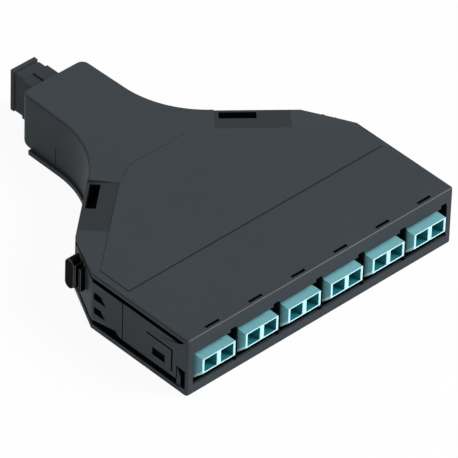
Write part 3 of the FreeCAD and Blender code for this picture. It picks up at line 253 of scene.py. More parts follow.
class RearAdapterSettings(bpy.types.PropertyGroup):
    """Edges and tone of the black upright adapter behind the neck; its edges are painted lighter as a
    highlight.
    """
    edge: length("Edge round", "Radius of the moulded edges", 0.16)
    tone: FloatProperty(name="Tone", description="Tone of its faces against the housing", default=0.8, min=0.0)
    # Painted highlight: how much lighter than the housing the rounded edges are painted
    edge_highlight_tone: FloatProperty(name="Edge tone", description="Tone of its edges against the housing", default=1.3,
                             min=0.0)


class HousingSettings(bpy.types.PropertyGroup):
    """Colours and edges of the charcoal housing."""
    edge: length("Edge round", "Radius of the moulded edges", 0.16)
    colour: colour("Charcoal", "Main colour of the moulded housing", (0.032, 0.040, 0.047))
    worn: colour("Rubbed", "Colour of the slightly rubbed areas", (0.041, 0.051, 0.059))
    # Painted shade: how much darker the field beside each snap window is painted
    shoulder: FloatProperty(name="Field tone", description="Tone of the field round each snap window",
                            default=0.58, min=0.0, max=1.0)
    # Painted highlight: the lighter colour of the rounded edges, the front corner and the groove's rear lip
    rubbed: colour("Edges", "Colour of the rubbed edges", (0.085, 0.095, 0.1))
    # The finger pads' black, which also paints shade in the latches' seams and openings
    pad_and_latch_shade: colour("Latch pad", "Colour of the finger pads", (0.0015, 0.002, 0.002))
    # Painted shade: near black in the narrow slots, windows, grooves, seams and hollows, and between the
    # adapters
    recess: colour("Recess", "Colour deep inside the narrow slots and windows", (0.002, 0.002, 0.003))


class InnerPieceSettings(bpy.types.PropertyGroup):
    """Colours of the pieces inside."""
    plug: colour("Plugs", "Colour of the inner duplex plugs", (0.55, 0.50, 0.38))
    boot: colour("Boots", "Colour of the strain relief boots", (0.72, 0.72, 0.69))
    ceramic: colour("Ferrules", "Colour of the ferrules and alignment sleeves", (0.82, 0.80, 0.76))
    jacket: colour("Fibres", "Colour of the fibre jackets", (0.08, 0.42, 0.47))
    block: colour("Block", "Colour of the fan-out block", (0.25, 0.26, 0.27))
    resin: colour("Rear plug", "Colour of the multi-fibre plug", (0.03, 0.03, 0.032))
    rubber: colour("Rear boot", "Colour of the multi-fibre plug's boot", (0.012, 0.012, 0.012))
    steel: colour("Pins", "Colour of the guide pins", (0.55, 0.56, 0.58))


class StageSettings(bpy.types.PropertyGroup):
    """Camera, lamps and floor."""
    lens: FloatProperty(name="Lens", description="Focal length of the camera in millimetres", default=501.32)
    key: FloatProperty(name="Key lamp", description="Power of the main soft lamp", default=25.0, unit="POWER")
    fill: FloatProperty(name="Fill lamp", description="Power of the lamp from the left", default=3.6,
                        unit="POWER")
    back: FloatProperty(name="Back lamp", description="Power of the lamp behind", default=3.0, unit="POWER")
    sky: FloatProperty(name="Sky", description="Strength of the even light", default=0.24)


# Mesh helpers: everything is modelled in metres at its final place

def deselect():
    """Leaves nothing selected."""
    if bpy.context.object and bpy.context.object.mode != "OBJECT":
        bpy.ops.object.mode_set(mode="OBJECT")
    bpy.ops.object.select_all(action="DESELECT")


def only(obj):
    """Makes obj the one selected and active object."""
    deselect()
    obj.select_set(True)
    bpy.context.view_layer.objects.active = obj


def block(name, low, high):
    """A box between two corners, with its place in its mesh."""
    deselect()
    low, high = Vector(low), Vector(high)
    bpy.ops.mesh.primitive_cube_add(size=1.0, location=(low + high) / 2, scale=high - low)
    obj = bpy.context.object
    obj.name = name
    bpy.ops.object.transform_apply(location=True, rotation=True, scale=True)
    return obj


def drum(name, centre, radius, depth, vertices=40):
    """A closed cylinder along Y."""
    deselect()
    bpy.ops.mesh.primitive_cylinder_add(vertices=vertices, radius=radius, depth=depth, location=centre,
                                        rotation=(math.pi / 2, 0, 0))
    obj = bpy.context.object
    obj.name = name
    bpy.ops.object.transform_apply(location=True, rotation=True, scale=True)
    return obj


def cut(obj, point, normal):
    """Cuts every face of obj along a plane, without removing anything."""
    only(obj)
    bpy.ops.object.mode_set(mode="EDIT")
    bpy.ops.mesh.select_all(action="SELECT")
    bpy.ops.mesh.bisect(plane_co=point, plane_no=normal)
    bpy.ops.object.mode_set(mode="OBJECT")


def trim(obj, point, normal):
    """Removes what lies on the normal's side of a plane and closes the cut."""
    only(obj)
    bpy.ops.object.mode_set(mode="EDIT")
    bpy.ops.mesh.select_all(action="SELECT")
    bpy.ops.mesh.bisect(plane_co=point, plane_no=normal, use_fill=True, clear_outer=True)
    bpy.ops.object.mode_set(mode="OBJECT")


def find_faces(obj, low, high, normal=None):
    """In edit mode, selects and counts the faces whose centres lie in a box and that face along normal."""
    bpy.ops.mesh.select_mode(type="FACE")
    bpy.ops.mesh.select_all(action="DESELECT")
    mesh = bmesh.from_edit_mesh(obj.data)
    found = 0
    for face in mesh.faces:
        centre = face.calc_center_median()
        inside = all(low[i] <= centre[i] <= high[i] for i in range(3))
        if inside and (normal is None or face.normal.dot(Vector(normal)) > FACING):
            face.select_set(True)
            found += 1
    bmesh.update_edit_mesh(obj.data)
    return found


def pick_faces(obj, low, high, normal=None):
    """Selects those faces, and stops the script where there are none."""
    if not find_faces(obj, low, high, normal):
        raise RuntimeError("%s has no face where the next step needs one" % obj.name)


def push(obj, low, high, normal, travel):
    """Extrudes the faces found in a box by a distance along a vector."""
    only(obj)
    bpy.ops.object.mode_set(mode="EDIT")
    pick_faces(obj, low, high, normal)
    bpy.ops.mesh.extrude_region_move(TRANSFORM_OT_translate={"value": travel})
    bpy.ops.object.mode_set(mode="OBJECT")


def inset(obj, low, high, normal, thickness, depth=0.0):
    """Insets the faces found in a box."""
    only(obj)
    bpy.ops.object.mode_set(mode="EDIT")
    pick_faces(obj, low, high, normal)
    bpy.ops.mesh.inset(thickness=thickness, depth=depth)
    bpy.ops.object.mode_set(mode="OBJECT")


def merged(name, objs):
    """Joins objects into one."""
    deselect()
    for obj in objs:
        obj.select_set(True)
    bpy.context.view_layer.objects.active = objs[0]
    bpy.ops.object.join()
    objs[0].name = name
    return objs[0]


def crease_gentle_slopes(obj):
    """Keeps a crisp line where two nearly level faces meet at a small angle."""
    only(obj)
    bpy.ops.object.mode_set(mode="EDIT")
    mesh = bmesh.from_edit_mesh(obj.data)
    for edge in mesh.edges:
        if len(edge.link_faces) == 2:
            first, second = edge.link_faces[0].normal, edge.link_faces[1].normal
            if min(first.z, second.z) > NEARLY_LEVEL and first.dot(second) < SAME_WAY:
                edge.smooth = False
    bmesh.update_edit_mesh(obj.data)
    bpy.ops.object.mode_set(mode="OBJECT")


def round_edges(obj, radius, segments=3, finish=-1):
    """Rounds the sharp edges, gives them the material at finish (a painted edge highlight where a caller passes
    one) and shades the faces between them smoothly.
    """
    only(obj)
    bevel = obj.modifiers.new("Rounding", "BEVEL")
    bevel.width = radius
    bevel.material = finish
    bevel.segments = segments
    bevel.limit_method = "ANGLE"
    bevel.angle_limit = SHARP
    bevel.miter_outer = "MITER_ARC"
    bpy.ops.object.modifier_apply(modifier=bevel.name)
    bpy.ops.object.shade_smooth_by_angle(angle=SHARP)
    crease_gentle_slopes(obj)
    weighted = obj.modifiers.new("Flat faces stay flat", "WEIGHTED_NORMAL")
    weighted.keep_sharp = True
    weighted.weight = 100
    bpy.ops.object.modifier_apply(modifier=weighted.name)


def lower_level_faces(piece, spans):
    """Lowers the level faces found in each of the spans a little, and stops the script where there are none."""
    only(piece)
    bpy.ops.object.mode_set(mode="EDIT")
    found = 0
    for low, high in spans:
        if find_faces(piece, low, high, (0, 0, 1)):
            bpy.ops.transform.translate(value=(0, 0, -LOWERED))
            found += 1
    bpy.ops.object.mode_set(mode="OBJECT")
    if not found:
        raise RuntimeError("%s has no level face to lower" % piece.name)


def widen_seam(piece):
    """Lowers the top of the side walls, so that the seam under the cover shows as a dark line."""
    cut(piece, (0, SEAM_START, 0), (0, 1, 0))
    spans = []
    for side in (-1, 1):
        start, end = sorted((side * TRAY_HIGH.x, side * (TRAY_HIGH.x - SEAM_WIDTH)))
        low = (start, SEAM_START, SEAM_FLOOR - NEAR)
        spans.append((low, (end, SEAM_START + SEAM_LENGTH, SEAM_FLOOR + NEAR)))
    lower_level_faces(piece, spans)


def lower_lip(piece):
    """Lowers the flat top of the lip under the ports, to the height that the photograph shows."""
    low = (-TRAY_HIGH.x, TRAY_LOW.y, LIP_TOP - NEAR)
    lower_level_faces(piece, [(low, (TRAY_HIGH.x, LIP_REAR, LIP_TOP + NEAR))])


def is_shoulder(normal, spot):
    """Tells whether a face is on the gently sloped shoulders beside the raised panel."""
    return SHOULDER_TILTS[0] < normal.z < SHOULDER_TILTS[1] and spot.z > SHOULDER_BASE


def divide_shoulders(piece):
    """Divides each sloped shoulder where the field beside its window ends; that field is painted darker as
    shade.
    """
    only(piece)
    bpy.ops.object.mode_set(mode="EDIT")
    for side in (-1, 1):
        bpy.ops.mesh.select_all(action="DESELECT")
        mesh = bmesh.from_edit_mesh(piece.data)
        found = 0
        for face in mesh.faces:
            spot = face.calc_center_median()
            if is_shoulder(face.normal, spot) and spot.x * side > 0:
                face.select = True
                found += 1
        if not found:
            raise RuntimeError("%s has no sloped shoulder to divide" % piece.name)
        bmesh.update_edit_mesh(piece.data)
        bpy.ops.mesh.bisect(plane_co=(side * FIELD_END.x, FIELD_END.y, 0),
                            plane_no=(side * FIELD_WAY.x, FIELD_WAY.y, 0))
    bpy.ops.object.mode_set(mode="OBJECT")


def softened_copy(node, radius, *materials, seam=False):
    """A copy of a moulded node with its edges rounded. They get the last of the materials, their painted edge
    highlight.
    """
    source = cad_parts[node]
    deselect()
    piece = bpy.data.objects.new(node + "_moulding", source.data.copy())
    bpy.context.scene.collection.objects.link(piece)
    piece.data.materials.clear()
    for material in materials:
        piece.data.materials.append(material)
    for face in piece.data.polygons:
        face.material_index = PLAIN
    only(piece)
    bpy.ops.object.mode_set(mode="EDIT")
    bpy.ops.mesh.select_all(action="SELECT")
    bpy.ops.mesh.remove_doubles(threshold=WELD)
    bpy.ops.mesh.dissolve_limited(angle_limit=FLAT)
    bpy.ops.object.mode_set(mode="OBJECT")
    if seam:
        widen_seam(piece)
    if node == "base_tray":
        lower_lip(piece)
    if node == "top_cover":
        divide_shoulders(piece)
    only(piece)
    bpy.ops.object.mode_set(mode="EDIT")
    bpy.ops.mesh.select_all(action="SELECT")
    bpy.ops.mesh.vert_connect_concave()
    bpy.ops.object.mode_set(mode="OBJECT")
    round_edges(piece, radius, segments=2, finish=len(materials) - 1)
    return piece


def settle(piece, body, slot, *nodes):
    """Gives a finished piece its body and hides the nodes that it stands for; its slot is not used."""
    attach(piece, body)
    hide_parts(*nodes)


# Finishes

def group_socket(group, way, kind, name, default=None):
    """Adds one named socket to a node group."""
    made = group.interface.new_socket(name=name, in_out=way, socket_type=kind)
    if default is not None:
        made.default_value = default


def moulded_grain_group():
    """Spark-eroded grain with soft cloudy variation, for every moulded plastic."""
    if "Moulded Grain" in bpy.data.node_groups:
        return bpy.data.node_groups["Moulded Grain"]
    group = bpy.data.node_groups.new("Moulded Grain", "ShaderNodeTree")
    group_socket(group, "INPUT", "NodeSocketVector", "Place")
    group_socket(group, "INPUT", "NodeSocketColor", "Plain", (0.05, 0.05, 0.05, 1))
    group_socket(group, "INPUT", "NodeSocketColor", "Rubbed", (0.08, 0.08, 0.08, 1))
    group_socket(group, "INPUT", "NodeSocketFloat", "Grain Scale", 5200.0)
    group_socket(group, "INPUT", "NodeSocketFloat", "Cloud Scale", 45.0)
    group_socket(group, "INPUT", "NodeSocketFloat", "Cloud Amount", 0.5)
    group_socket(group, "INPUT", "NodeSocketFloat", "Roughness Low", 0.5)
    group_socket(group, "INPUT", "NodeSocketFloat", "Roughness High", 0.65)
    group_socket(group, "OUTPUT", "NodeSocketColor", "Colour")
    group_socket(group, "OUTPUT", "NodeSocketFloat", "Roughness")
    group_socket(group, "OUTPUT", "NodeSocketFloat", "Height")
    nodes, links = group.nodes, group.links
    entry = nodes.new("NodeGroupInput")
    leave = nodes.new("NodeGroupOutput")
    grain = nodes.new("ShaderNodeTexNoise")
    grain.inputs["Detail"].default_value = 2.0
    pits = nodes.new("ShaderNodeTexVoronoi")
    cloud = nodes.new("ShaderNodeTexNoise")
    cloud.inputs["Detail"].default_value = 5.0
    cloud.inputs["Roughness"].default_value = 0.6
    spread = nodes.new("ShaderNodeMapRange")
    spread.inputs["From Min"].default_value = CLOUD_RANGE[0]
    spread.inputs["From Max"].default_value = CLOUD_RANGE[1]
    amount = nodes.new("ShaderNodeMath")
    amount.operation = "MULTIPLY"
    speck = nodes.new("ShaderNodeMapRange")
    speck.inputs["To Min"].default_value = -SPECK
    speck.inputs["To Max"].default_value = SPECK
    total = nodes.new("ShaderNodeMath")
    total.operation = "ADD"
    total.use_clamp = True
    mix = nodes.new("ShaderNodeMix")
    mix.data_type = "RGBA"
    rough = nodes.new("ShaderNodeMapRange")
    height = nodes.new("ShaderNodeMath")
    height.operation = "MULTIPLY_ADD"
    height.inputs[1].default_value = PIT_RELIEF
    links.new(entry.outputs["Place"], grain.inputs["Vector"])
    links.new(entry.outputs["Place"], pits.inputs["Vector"])
    links.new(entry.outputs["Place"], cloud.inputs["Vector"])
    links.new(entry.outputs["Grain Scale"], grain.inputs["Scale"])
    links.new(entry.outputs["Grain Scale"], pits.inputs["Scale"])
    links.new(entry.outputs["Cloud Scale"], cloud.inputs["Scale"])
    links.new(cloud.outputs["Fac"], spread.inputs["Value"])
    links.new(spread.outputs["Result"], amount.inputs[0])
    links.new(entry.outputs["Cloud Amount"], amount.inputs[1])
    links.new(grain.outputs["Fac"], speck.inputs["Value"])
    links.new(amount.outputs[0], total.inputs[0])
    links.new(speck.outputs["Result"], total.inputs[1])
    links.new(total.outputs[0], mix.inputs["Factor"])
    links.new(entry.outputs["Plain"], mix.inputs[MIX_A])
    links.new(entry.outputs["Rubbed"], mix.inputs[MIX_B])
    links.new(cloud.outputs["Fac"], rough.inputs["Value"])
    links.new(entry.outputs["Roughness Low"], rough.inputs["To Min"])
    links.new(entry.outputs["Roughness High"], rough.inputs["To Max"])
    links.new(pits.outputs["Distance"], height.inputs[0])
    links.new(grain.outputs["Fac"], height.inputs[2])
    links.new(mix.outputs[MIX_RESULT], leave.inputs["Colour"])
    links.new(rough.outputs["Result"], leave.inputs["Roughness"])
    links.new(height.outputs[0], leave.inputs["Height"])
    return group


def rgba(values):
    """A colour with full opacity."""
    return (values[0], values[1], values[2], 1.0)


def lighter(values, factor):
    """A colour made lighter or darker by a factor."""
    return [min(value * factor, 1.0) for value in values]


def moulded(name, plain, rubbed, grain=5200.0, bump=0.16, low=0.46, high=0.62, clouds=0.5, specular=0.1):
    """A moulded plastic made with the shared grain."""
    material = bpy.data.materials.new(name)
    material.use_nodes = True
    nodes, links = material.node_tree.nodes, material.node_tree.links
    shader = nodes["Principled BSDF"]
    place = nodes.new("ShaderNodeTexCoord")
    texture = nodes.new("ShaderNodeGroup")
    texture.node_tree = moulded_grain_group()
    texture.inputs["Plain"].default_value = rgba(plain)
    texture.inputs["Rubbed"].default_value = rgba(rubbed)
    texture.inputs["Grain Scale"].default_value = grain
    texture.inputs["Cloud Amount"].default_value = clouds
    texture.inputs["Roughness Low"].default_value = low
    texture.inputs["Roughness High"].default_value = high
    relief = nodes.new("ShaderNodeBump")
    relief.inputs["Strength"].default_value = bump
    relief.inputs["Distance"].default_value = RELIEF_DEPTH
    shader.inputs["Specular IOR Level"].default_value = specular
    links.new(place.outputs["Object"], texture.inputs["Place"])
    links.new(texture.outputs["Colour"], shader.inputs["Base Color"])
    links.new(texture.outputs["Roughness"], shader.inputs["Roughness"])
    links.new(texture.outputs["Height"], relief.inputs["Height"])
    links.new(relief.outputs["Normal"], shader.inputs["Normal"])
    return material


def seen_rays(nodes, links):
    """A mask that is one for what the camera sees, directly, in a mirror or through glass."""
    rays = nodes.new("ShaderNodeLightPath")
    mirrored = nodes.new("ShaderNodeMath")
    mirrored.operation = "MAXIMUM"
    seen = nodes.new("ShaderNodeMath")
    seen.operation = "MAXIMUM"
    links.new(rays.outputs["Is Camera Ray"], mirrored.inputs[0])
    links.new(rays.outputs["Is Glossy Ray"], mirrored.inputs[1])
    links.new(mirrored.outputs[0], seen.inputs[0])
    links.new(rays.outputs["Is Transmission Ray"], seen.inputs[1])
    return seen.outputs[0]


def paint_node(node, material):
    """Gives a CAD node its better material in every slot."""
    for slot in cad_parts[node].material_slots:
        slot.material = material


def shade_hollows(piece, hollows):
    """Paints shade, in the material of the dark slot, on the faces inside hollows of both sides, but not on the
    outer walls.
    """
    for face in piece.data.polygons:
        inward = (TRAY_HIGH.x - abs(face.center.x)) / MM
        along = (face.center.y - TRAY_LOW.y) / MM
        up = face.center.z / MM
        if inward < OUTER_SKIN or abs(face.normal.x) > OUTWARD_TILT and inward < OUTER_WALL:
            continue
        for depth, y0, y1, z0, z1 in hollows:
            if inward < depth and y0 < along < y1 and z0 < up < z1:
                face.material_index = DARK


# Pieces

class CASSETTE_OT_housing(bpy.types.Operator):
    """Moulded tray and cover in grained charcoal plastic with rounded edges, painted highlights on the edges
    and painted shade in the recesses
    """
    bl_idname = "cassette.housing"
    bl_label = "Tray and Cover"

    def execute(self, context):
        look = context.scene.cassette_housing
        charcoal = moulded("charcoal_moulding", look.colour, look.worn)
        # Painted shade for the recesses
        dark = moulded("recess_shade", look.recess, lighter(look.recess, 2.0), low=0.85, high=0.95,
                       specular=0.05)
        # Painted shade: a darker charcoal for the field beside each snap window
        field_shade = moulded("shoulder_moulding", lighter(look.colour, look.shoulder),
                        lighter(look.worn, look.shoulder))
        # Painted highlight: a lighter, glossier charcoal for the rounded edges
        rubbed = moulded("rubbed_edge", look.rubbed, lighter(look.rubbed, 1.3), low=0.38, high=0.5)
        for node in ("base_tray", "top_cover"):
            piece = softened_copy(node, look.edge, charcoal, dark, rubbed, seam=node == "base_tray")
            piece.data.materials.append(field_shade)
            for face in piece.data.polygons:
                self.finish_face(face)
            # Painted shade in the hollows of the sides
            shade_hollows(piece, SIDE_HOLLOWS)
            settle(piece, HOUSING, "housing", node)
        return {"FINISHED"}

    def finish_face(self, face):
        """Gives one face its painted shade or painted highlight: later tests overrule earlier ones."""
        spot = face.center
        # Painted shade on the field beside each snap window
        if self.in_painted_field_shade(face) and face.material_index == PLAIN:
            face.material_index = FIELD_SHADE
        # Painted highlight on the groove's rear lip and painted shade inside the groove
        if abs(spot.y - GROOVE_Y) <= GROOVE_REACH and spot.z >= COVER_HIGH.z - GROOVE_REACH:
            lip = face.normal.z > GROOVE_TILT and spot.z > COVER_HIGH.z - GROOVE_LIP
            if spot.y > GROOVE_Y and lip:
                face.material_index = EDGE_HIGHLIGHT
            elif spot.z < COVER_HIGH.z - GROOVE_MOUTH:
                face.material_index = DARK
        # Painted highlight along the rounded corner between the front and the top
        if face.normal.y < -CORNER_TILT and face.normal.z > CORNER_TILT and spot.y < TRAY_LOW.y + CORNER_REACH:
            face.material_index = EDGE_HIGHLIGHT
        # Painted shade in the cover's slots and windows, between the adapters and behind the lip
        if self.in_cover_opening(face) or self.in_port_gap(face):
            face.material_index = DARK

    def in_painted_field_shade(self, face):
        """Tells whether a face is on the part of a sloped shoulder that has the window, which is painted darker
        as shade.
        """
        spot = face.center
        beyond = Vector((abs(spot.x) - FIELD_END.x, spot.y - FIELD_END.y)).dot(FIELD_WAY) > 0
        return beyond and is_shoulder(face.normal, spot)

    def in_port_gap(self, face):
        """Tells whether a face is on the walls between the adapters or in the hollow behind the lip."""
        spot = face.center
        if LIP_SPAN[0] < spot.y < LIP_SPAN[1] and LIP_HEIGHTS[0] < spot.z < LIP_HEIGHTS[1]:
            if abs(spot.x) < TRAY_HIGH.x - POST_WIDTH:
                return True
        if not (GAP_LOW < spot.z < GAP_HIGH and spot.y < GAP_REAR):
            return False
        if min(abs(spot.x - x) for x in PORT_GAPS + [TRAY_HIGH.x]) >= GAP_HALF:
            return False
        on_divider = min(abs(spot.x - x) for x in PORT_GAPS) < DIVIDER_HALF and spot.z < DIVIDER_TOP
        return on_divider or face.normal.y > GAP_TILT and spot.y > GAP_FRONT

    def in_cover_opening(self, face):
        """Tells whether a face is inside a front slot or a snap window of the cover."""
        spot = face.center
        if spot.z >= OPENING_TOP:
            return False
        if SLOT_SPAN[0] < spot.y < SLOT_SPAN[1] and spot.z > COVER_FACE - SLOT_DEPTH:
            return True
        if not (WINDOW_SPAN[0] < spot.y < WINDOW_SPAN[1] and WINDOW_SIDES[0] < abs(spot.x) < WINDOW_SIDES[1]):
            return False
        place = Vector((abs(spot.x), spot.y)) - WINDOW_CORNER
        run = place.dot(WINDOW_ALONG.normalized()) / WINDOW_ALONG.length
        depth = place.dot(WINDOW_INWARD.normalized()) / WINDOW_INWARD.length
        wall = abs(face.normal.z) < WINDOW_TILT or spot.z < COVER_FACE - WINDOW_DEPTH
        along, inward = WINDOW_MARGINS
        return wall and -along < run < 1 + along and -inward < depth < 1 + inward


class CASSETTE_OT_latches(bpy.types.Operator):
    """Side latches with their black finger pads, painted highlights on the edges and painted shade in the seams
    and openings
    """
    bl_idname = "cassette.latches"
    bl_label = "Release Latches"

    def execute(self, context):
        look = context.scene.cassette_housing
        charcoal = bpy.data.materials["charcoal_moulding"]
        # The painted edge highlight of the housing, for the latch's rounded edges
        rubbed = bpy.data.materials["rubbed_edge"]
        # The pads' black, also used as painted shade in the latch's hollows
        black = moulded("finger_pad", look.pad_and_latch_shade, lighter(look.pad_and_latch_shade, 3.0), grain=3600.0, bump=0.2,
                        low=0.5, high=0.65, clouds=0.15, specular=0.03)
        for side in ("left", "right"):
            node = "release_latch_" + side
            piece = softened_copy(node, look.edge, charcoal, black, rubbed, seam=True)
            self.darken_pad(piece)
            # Painted shade in the latch's seams and openings, in the black of the pads
            shade_hollows(piece, LATCH_HOLLOWS)
            settle(piece, "latch_" + side, "latch", node)
        return {"FINISHED"}

    def darken_pad(self, piece):
        """Puts the black finish on the finger pad and the ribs, which stand out of the slanted end."""
        for face in piece.data.polygons:
            proud = (Vector((abs(face.center.x), face.center.y)) - LATCH_CORNER).dot(LATCH_OUTWARD)
            # Rib edges keep their painted highlight
            rib_edge = face.material_index == EDGE_HIGHLIGHT and abs(face.normal.x) > RIB_TILT
            if proud > NEAR / 2 and face.center.y > LATCH_CORNER.y + MM and not rib_edge:
                face.material_index = DARK


class CASSETTE_OT_front_adapters(bpy.types.Operator):
    """Six duplex adapters modelled once and copied along the row"""
    bl_idname = "cassette.front_adapters"
    bl_label = "Front Adapters"

    def execute(self, context):
        size = context.scene.cassette_front_adapter
        body = moulded("aqua_moulding", size.body_colour, lighter(size.body_colour, 1.25), grain=4200.0,
                       bump=0.06, low=0.32, high=0.44, clouds=0.35)
        # Painted highlight for the front face and the band beside the chin
        rim_highlight = moulded("aqua_rim", size.rim_highlight_colour, lighter(size.rim_highlight_colour, 1.15), grain=4200.0,
                      bump=0.04, low=0.3, high=0.4, clouds=0.3)
        # Painted shade for the inside of the ports
        inner = moulded("aqua_port", size.port_shade_colour, lighter(size.port_shade_colour, 1.3), grain=4200.0,
                        bump=0.04, low=0.25, high=0.4, clouds=0.3)
        first = self.model(size)
        for finish in (body, rim_highlight, inner):
            first.data.materials.append(finish)
        # Painted highlight on the front and painted shade in the ports
        self.paint_rim_highlight_and_port_shade(first, size)
        for number in NUMBERS:
            node = "lc_adapter_%d" % number
            low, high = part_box(node)
            piece = first if number == NUMBERS[-1] else first.copy()
            if piece is not first:
                piece.data = first.data.copy()
                context.scene.collection.objects.link(piece)
            piece.name = "duplex_adapter_%d" % number
            piece.data.transform(Matrix.Translation(((low.x + high.x) / 2, 0, 0)))
            settle(piece, HOUSING, "adapter", node)
        return {"FINISHED"}

    def model(self, size):
        """One adapter about X = 0, from a block that is cut, pushed in and rounded."""
        half = size.width / 2
        front, rear = FRONT_Y, FRONT_Y + size.depth
        middle = (front + rear) / 2
        top = size.bottom + size.height
        shell = block("duplex_adapter", (-half, front, size.bottom), (half, rear, top))
        slant = Vector((0, -1, -1)).normalized()
        trim(shell, (0, front, size.bottom + size.chin), slant)
        port_top = top - size.top_rim
        port_low = port_top - size.port_height
        columns = []
        for side in (-1, 1):
            x = side * size.port_spacing / 2
            columns.append((x - size.port_width / 2, x + size.port_width / 2))
        for x0, x1 in columns:
            cut(shell, (x0, 0, 0), (1, 0, 0))
            cut(shell, (x1, 0, 0), (1, 0, 0))
        for z in (port_low, port_top):
            cut(shell, (0, 0, z), (0, 0, 1))
        for y in (middle - size.wall / 2, middle + size.wall / 2):
            cut(shell, (0, y, 0), (0, 1, 0))
        self.add_collar(shell, size, middle, top)
        reach = size.depth / 2 - size.wall / 2
        for x0, x1 in columns:
            self.sink_port(shell, (x0, x1), (port_low, port_top), front, -1, reach, size)
            push(shell, (x0, rear - NEAR, port_low), (x1, rear + NEAR, port_top), (0, 1, 0), (0, -reach, 0))
        for x0, x1 in columns:
            self.carve_channels(shell, (x0 + x1) / 2, port_low, front, rear, middle, size)
        # Divides the sides where the painted highlight beside the chin ends
        cut(shell, (0, front, size.bottom + size.chin + size.chin_highlight), slant)
        round_edges(shell, size.edge)
        pieces = [shell] + self.barrels(size, middle, (port_low + port_top) / 2)
        return merged("duplex_adapter", pieces)

    def add_collar(self, shell, size, middle, top):
        """The collar round the middle that the tray's stubs hold."""
        half = size.width / 2
        span = size.wall / 2
        for side in (-1, 1):
            low = (side * half - NEAR, middle - span, 0)
            high = (side * half + NEAR, middle + span, top)
            push(shell, low, high, (side, 0, 0), (side * size.collar, 0, 0))
        wide = half + size.collar + MM
        push(shell, (-wide, middle - span, top - NEAR), (wide, middle + span, top + NEAR), (0, 0, 1),
             (0, 0, size.collar_rise))

    def sink_port(self, shell, span, heights, y, way, reach, size):
        """One port: a slanted mouth, then straight walls to the middle wall."""
        low = (span[0], y - NEAR, heights[0])
        high = (span[1], y + NEAR, heights[1])
        inset(shell, low, high, (0, way, 0), size.lead_in / 2, -size.lead_in)
        inner_low = (span[0], y - way * size.lead_in - NEAR, heights[0])
        inner_high = (span[1], y - way * size.lead_in + NEAR, heights[1])
        push(shell, inner_low, inner_high, (0, way, 0), (0, -way * (reach - size.lead_in), 0))

    def carve_channels(self, shell, x, port_low, front, rear, middle, size):
        """Grooves under one column of ports for the levers of the plugs, open at the rear."""
        half = size.channel / 2
        low = port_low - size.channel_depth
        cut(shell, (0, 0, low), (0, 0, 1))
        for edge in (x - half, x + half):
            cut(shell, (edge, 0, 0), (1, 0, 0))
        start = front + size.channel_start
        cut(shell, (0, start, 0), (0, 1, 0))
        spans = ((start, middle - size.wall / 2), (middle + size.wall / 2, rear))
        for y0, y1 in spans:
            push(shell, (x - half, y0, port_low - NEAR), (x + half, y1, port_low + NEAR), (0, 0, 1),
                 (0, 0, -size.channel_depth))
        only(shell)
        bpy.ops.object.mode_set(mode="EDIT")
        pick_faces(shell, (x - half, rear - NEAR, low), (x + half, rear + NEAR, port_low))
        bpy.ops.mesh.delete(type="FACE")
        bpy.ops.mesh.select_all(action="SELECT")
        bpy.ops.mesh.remove_doubles(threshold=WELD)
        bpy.ops.mesh.normals_make_consistent(inside=False)
        bpy.ops.object.mode_set(mode="OBJECT")

    def barrels(self, size, middle, z):
        """The tubes that hold the alignment sleeves, seen deep in the ports."""
        made = []
        for side in (-1, 1):
            x = side * size.port_spacing / 2
            tube = drum("barrel", (x, middle, z), size.barrel, 2 * size.barrel_reach)
            for way in (-1, 1):
                end = middle + way * size.barrel_reach
                low = (x - size.barrel, end - NEAR, z - size.barrel)
                high = (x + size.barrel, end + NEAR, z + size.barrel)
                inset(tube, low, high, (0, way, 0), size.barrel - size.bore)
                self.sink_bore(tube, x, end, z, way, size)
            round_edges(tube, size.edge / 2, segments=2)
            made.append(tube)
        return made

    def sink_bore(self, tube, x, end, z, way, size):
        """The ferrule's hole in one end of a barrel."""
        only(tube)
        bpy.ops.object.mode_set(mode="EDIT")
        near = size.bore / 2
        travel = (0, -way * size.barrel_reach * BORE_SHARE, 0)
        pick_faces(tube, (x - near, end - NEAR, z - near), (x + near, end + NEAR, z + near), (0, way, 0))
        bpy.ops.mesh.extrude_region_move(TRANSFORM_OT_translate={"value": travel})
        bpy.ops.object.mode_set(mode="OBJECT")

    def paint_rim_highlight_and_port_shade(self, piece, size):
        """Paints the front face and a band beside the slanted edge paler as a highlight, and the inside of the
        ports deeper as shade.
        """
        edge = FRONT_Y + size.lead_in + size.edge / 2
        top = size.bottom + size.height - size.top_rim / 2
        for face in piece.data.polygons:
            spot = face.center
            outer = abs(spot.x) > size.width / 2 - 3 * NEAR
            low = spot.z < top - size.port_height - size.channel_depth
            beside_chin = spot.y - FRONT_Y + spot.z - size.bottom < size.chin + size.chin_highlight
            if spot.y < edge or beside_chin and abs(spot.x) > size.width / 2 - size.edge:
                face.material_index = RIM_HIGHLIGHT
            elif not outer and not low and spot.z < top and FRONT_Y < spot.y < FRONT_Y + size.depth / 2:
                face.material_index = PORT_SHADE


class CASSETTE_OT_rear_adapter(bpy.types.Operator):
    """Upright multi-fibre adapter behind the neck"""
    bl_idname = "cassette.rear_adapter"
    bl_label = "Rear Adapter"

    def execute(self, context):
        look = context.scene.cassette_housing
        size = context.scene.cassette_rear_adapter
        black = moulded("black_moulding", lighter(look.colour, size.tone), look.colour, bump=0.12)
        # Painted highlight: a lighter charcoal on the rounded edges
        edge = moulded("black_edge", lighter(look.colour, size.edge_highlight_tone), look.worn, bump=0.12)
        piece = softened_copy("mpo_adapter", size.edge, black, edge)
        settle(piece, HOUSING, "rear_adapter", "mpo_adapter")
        return {"FINISHED"}


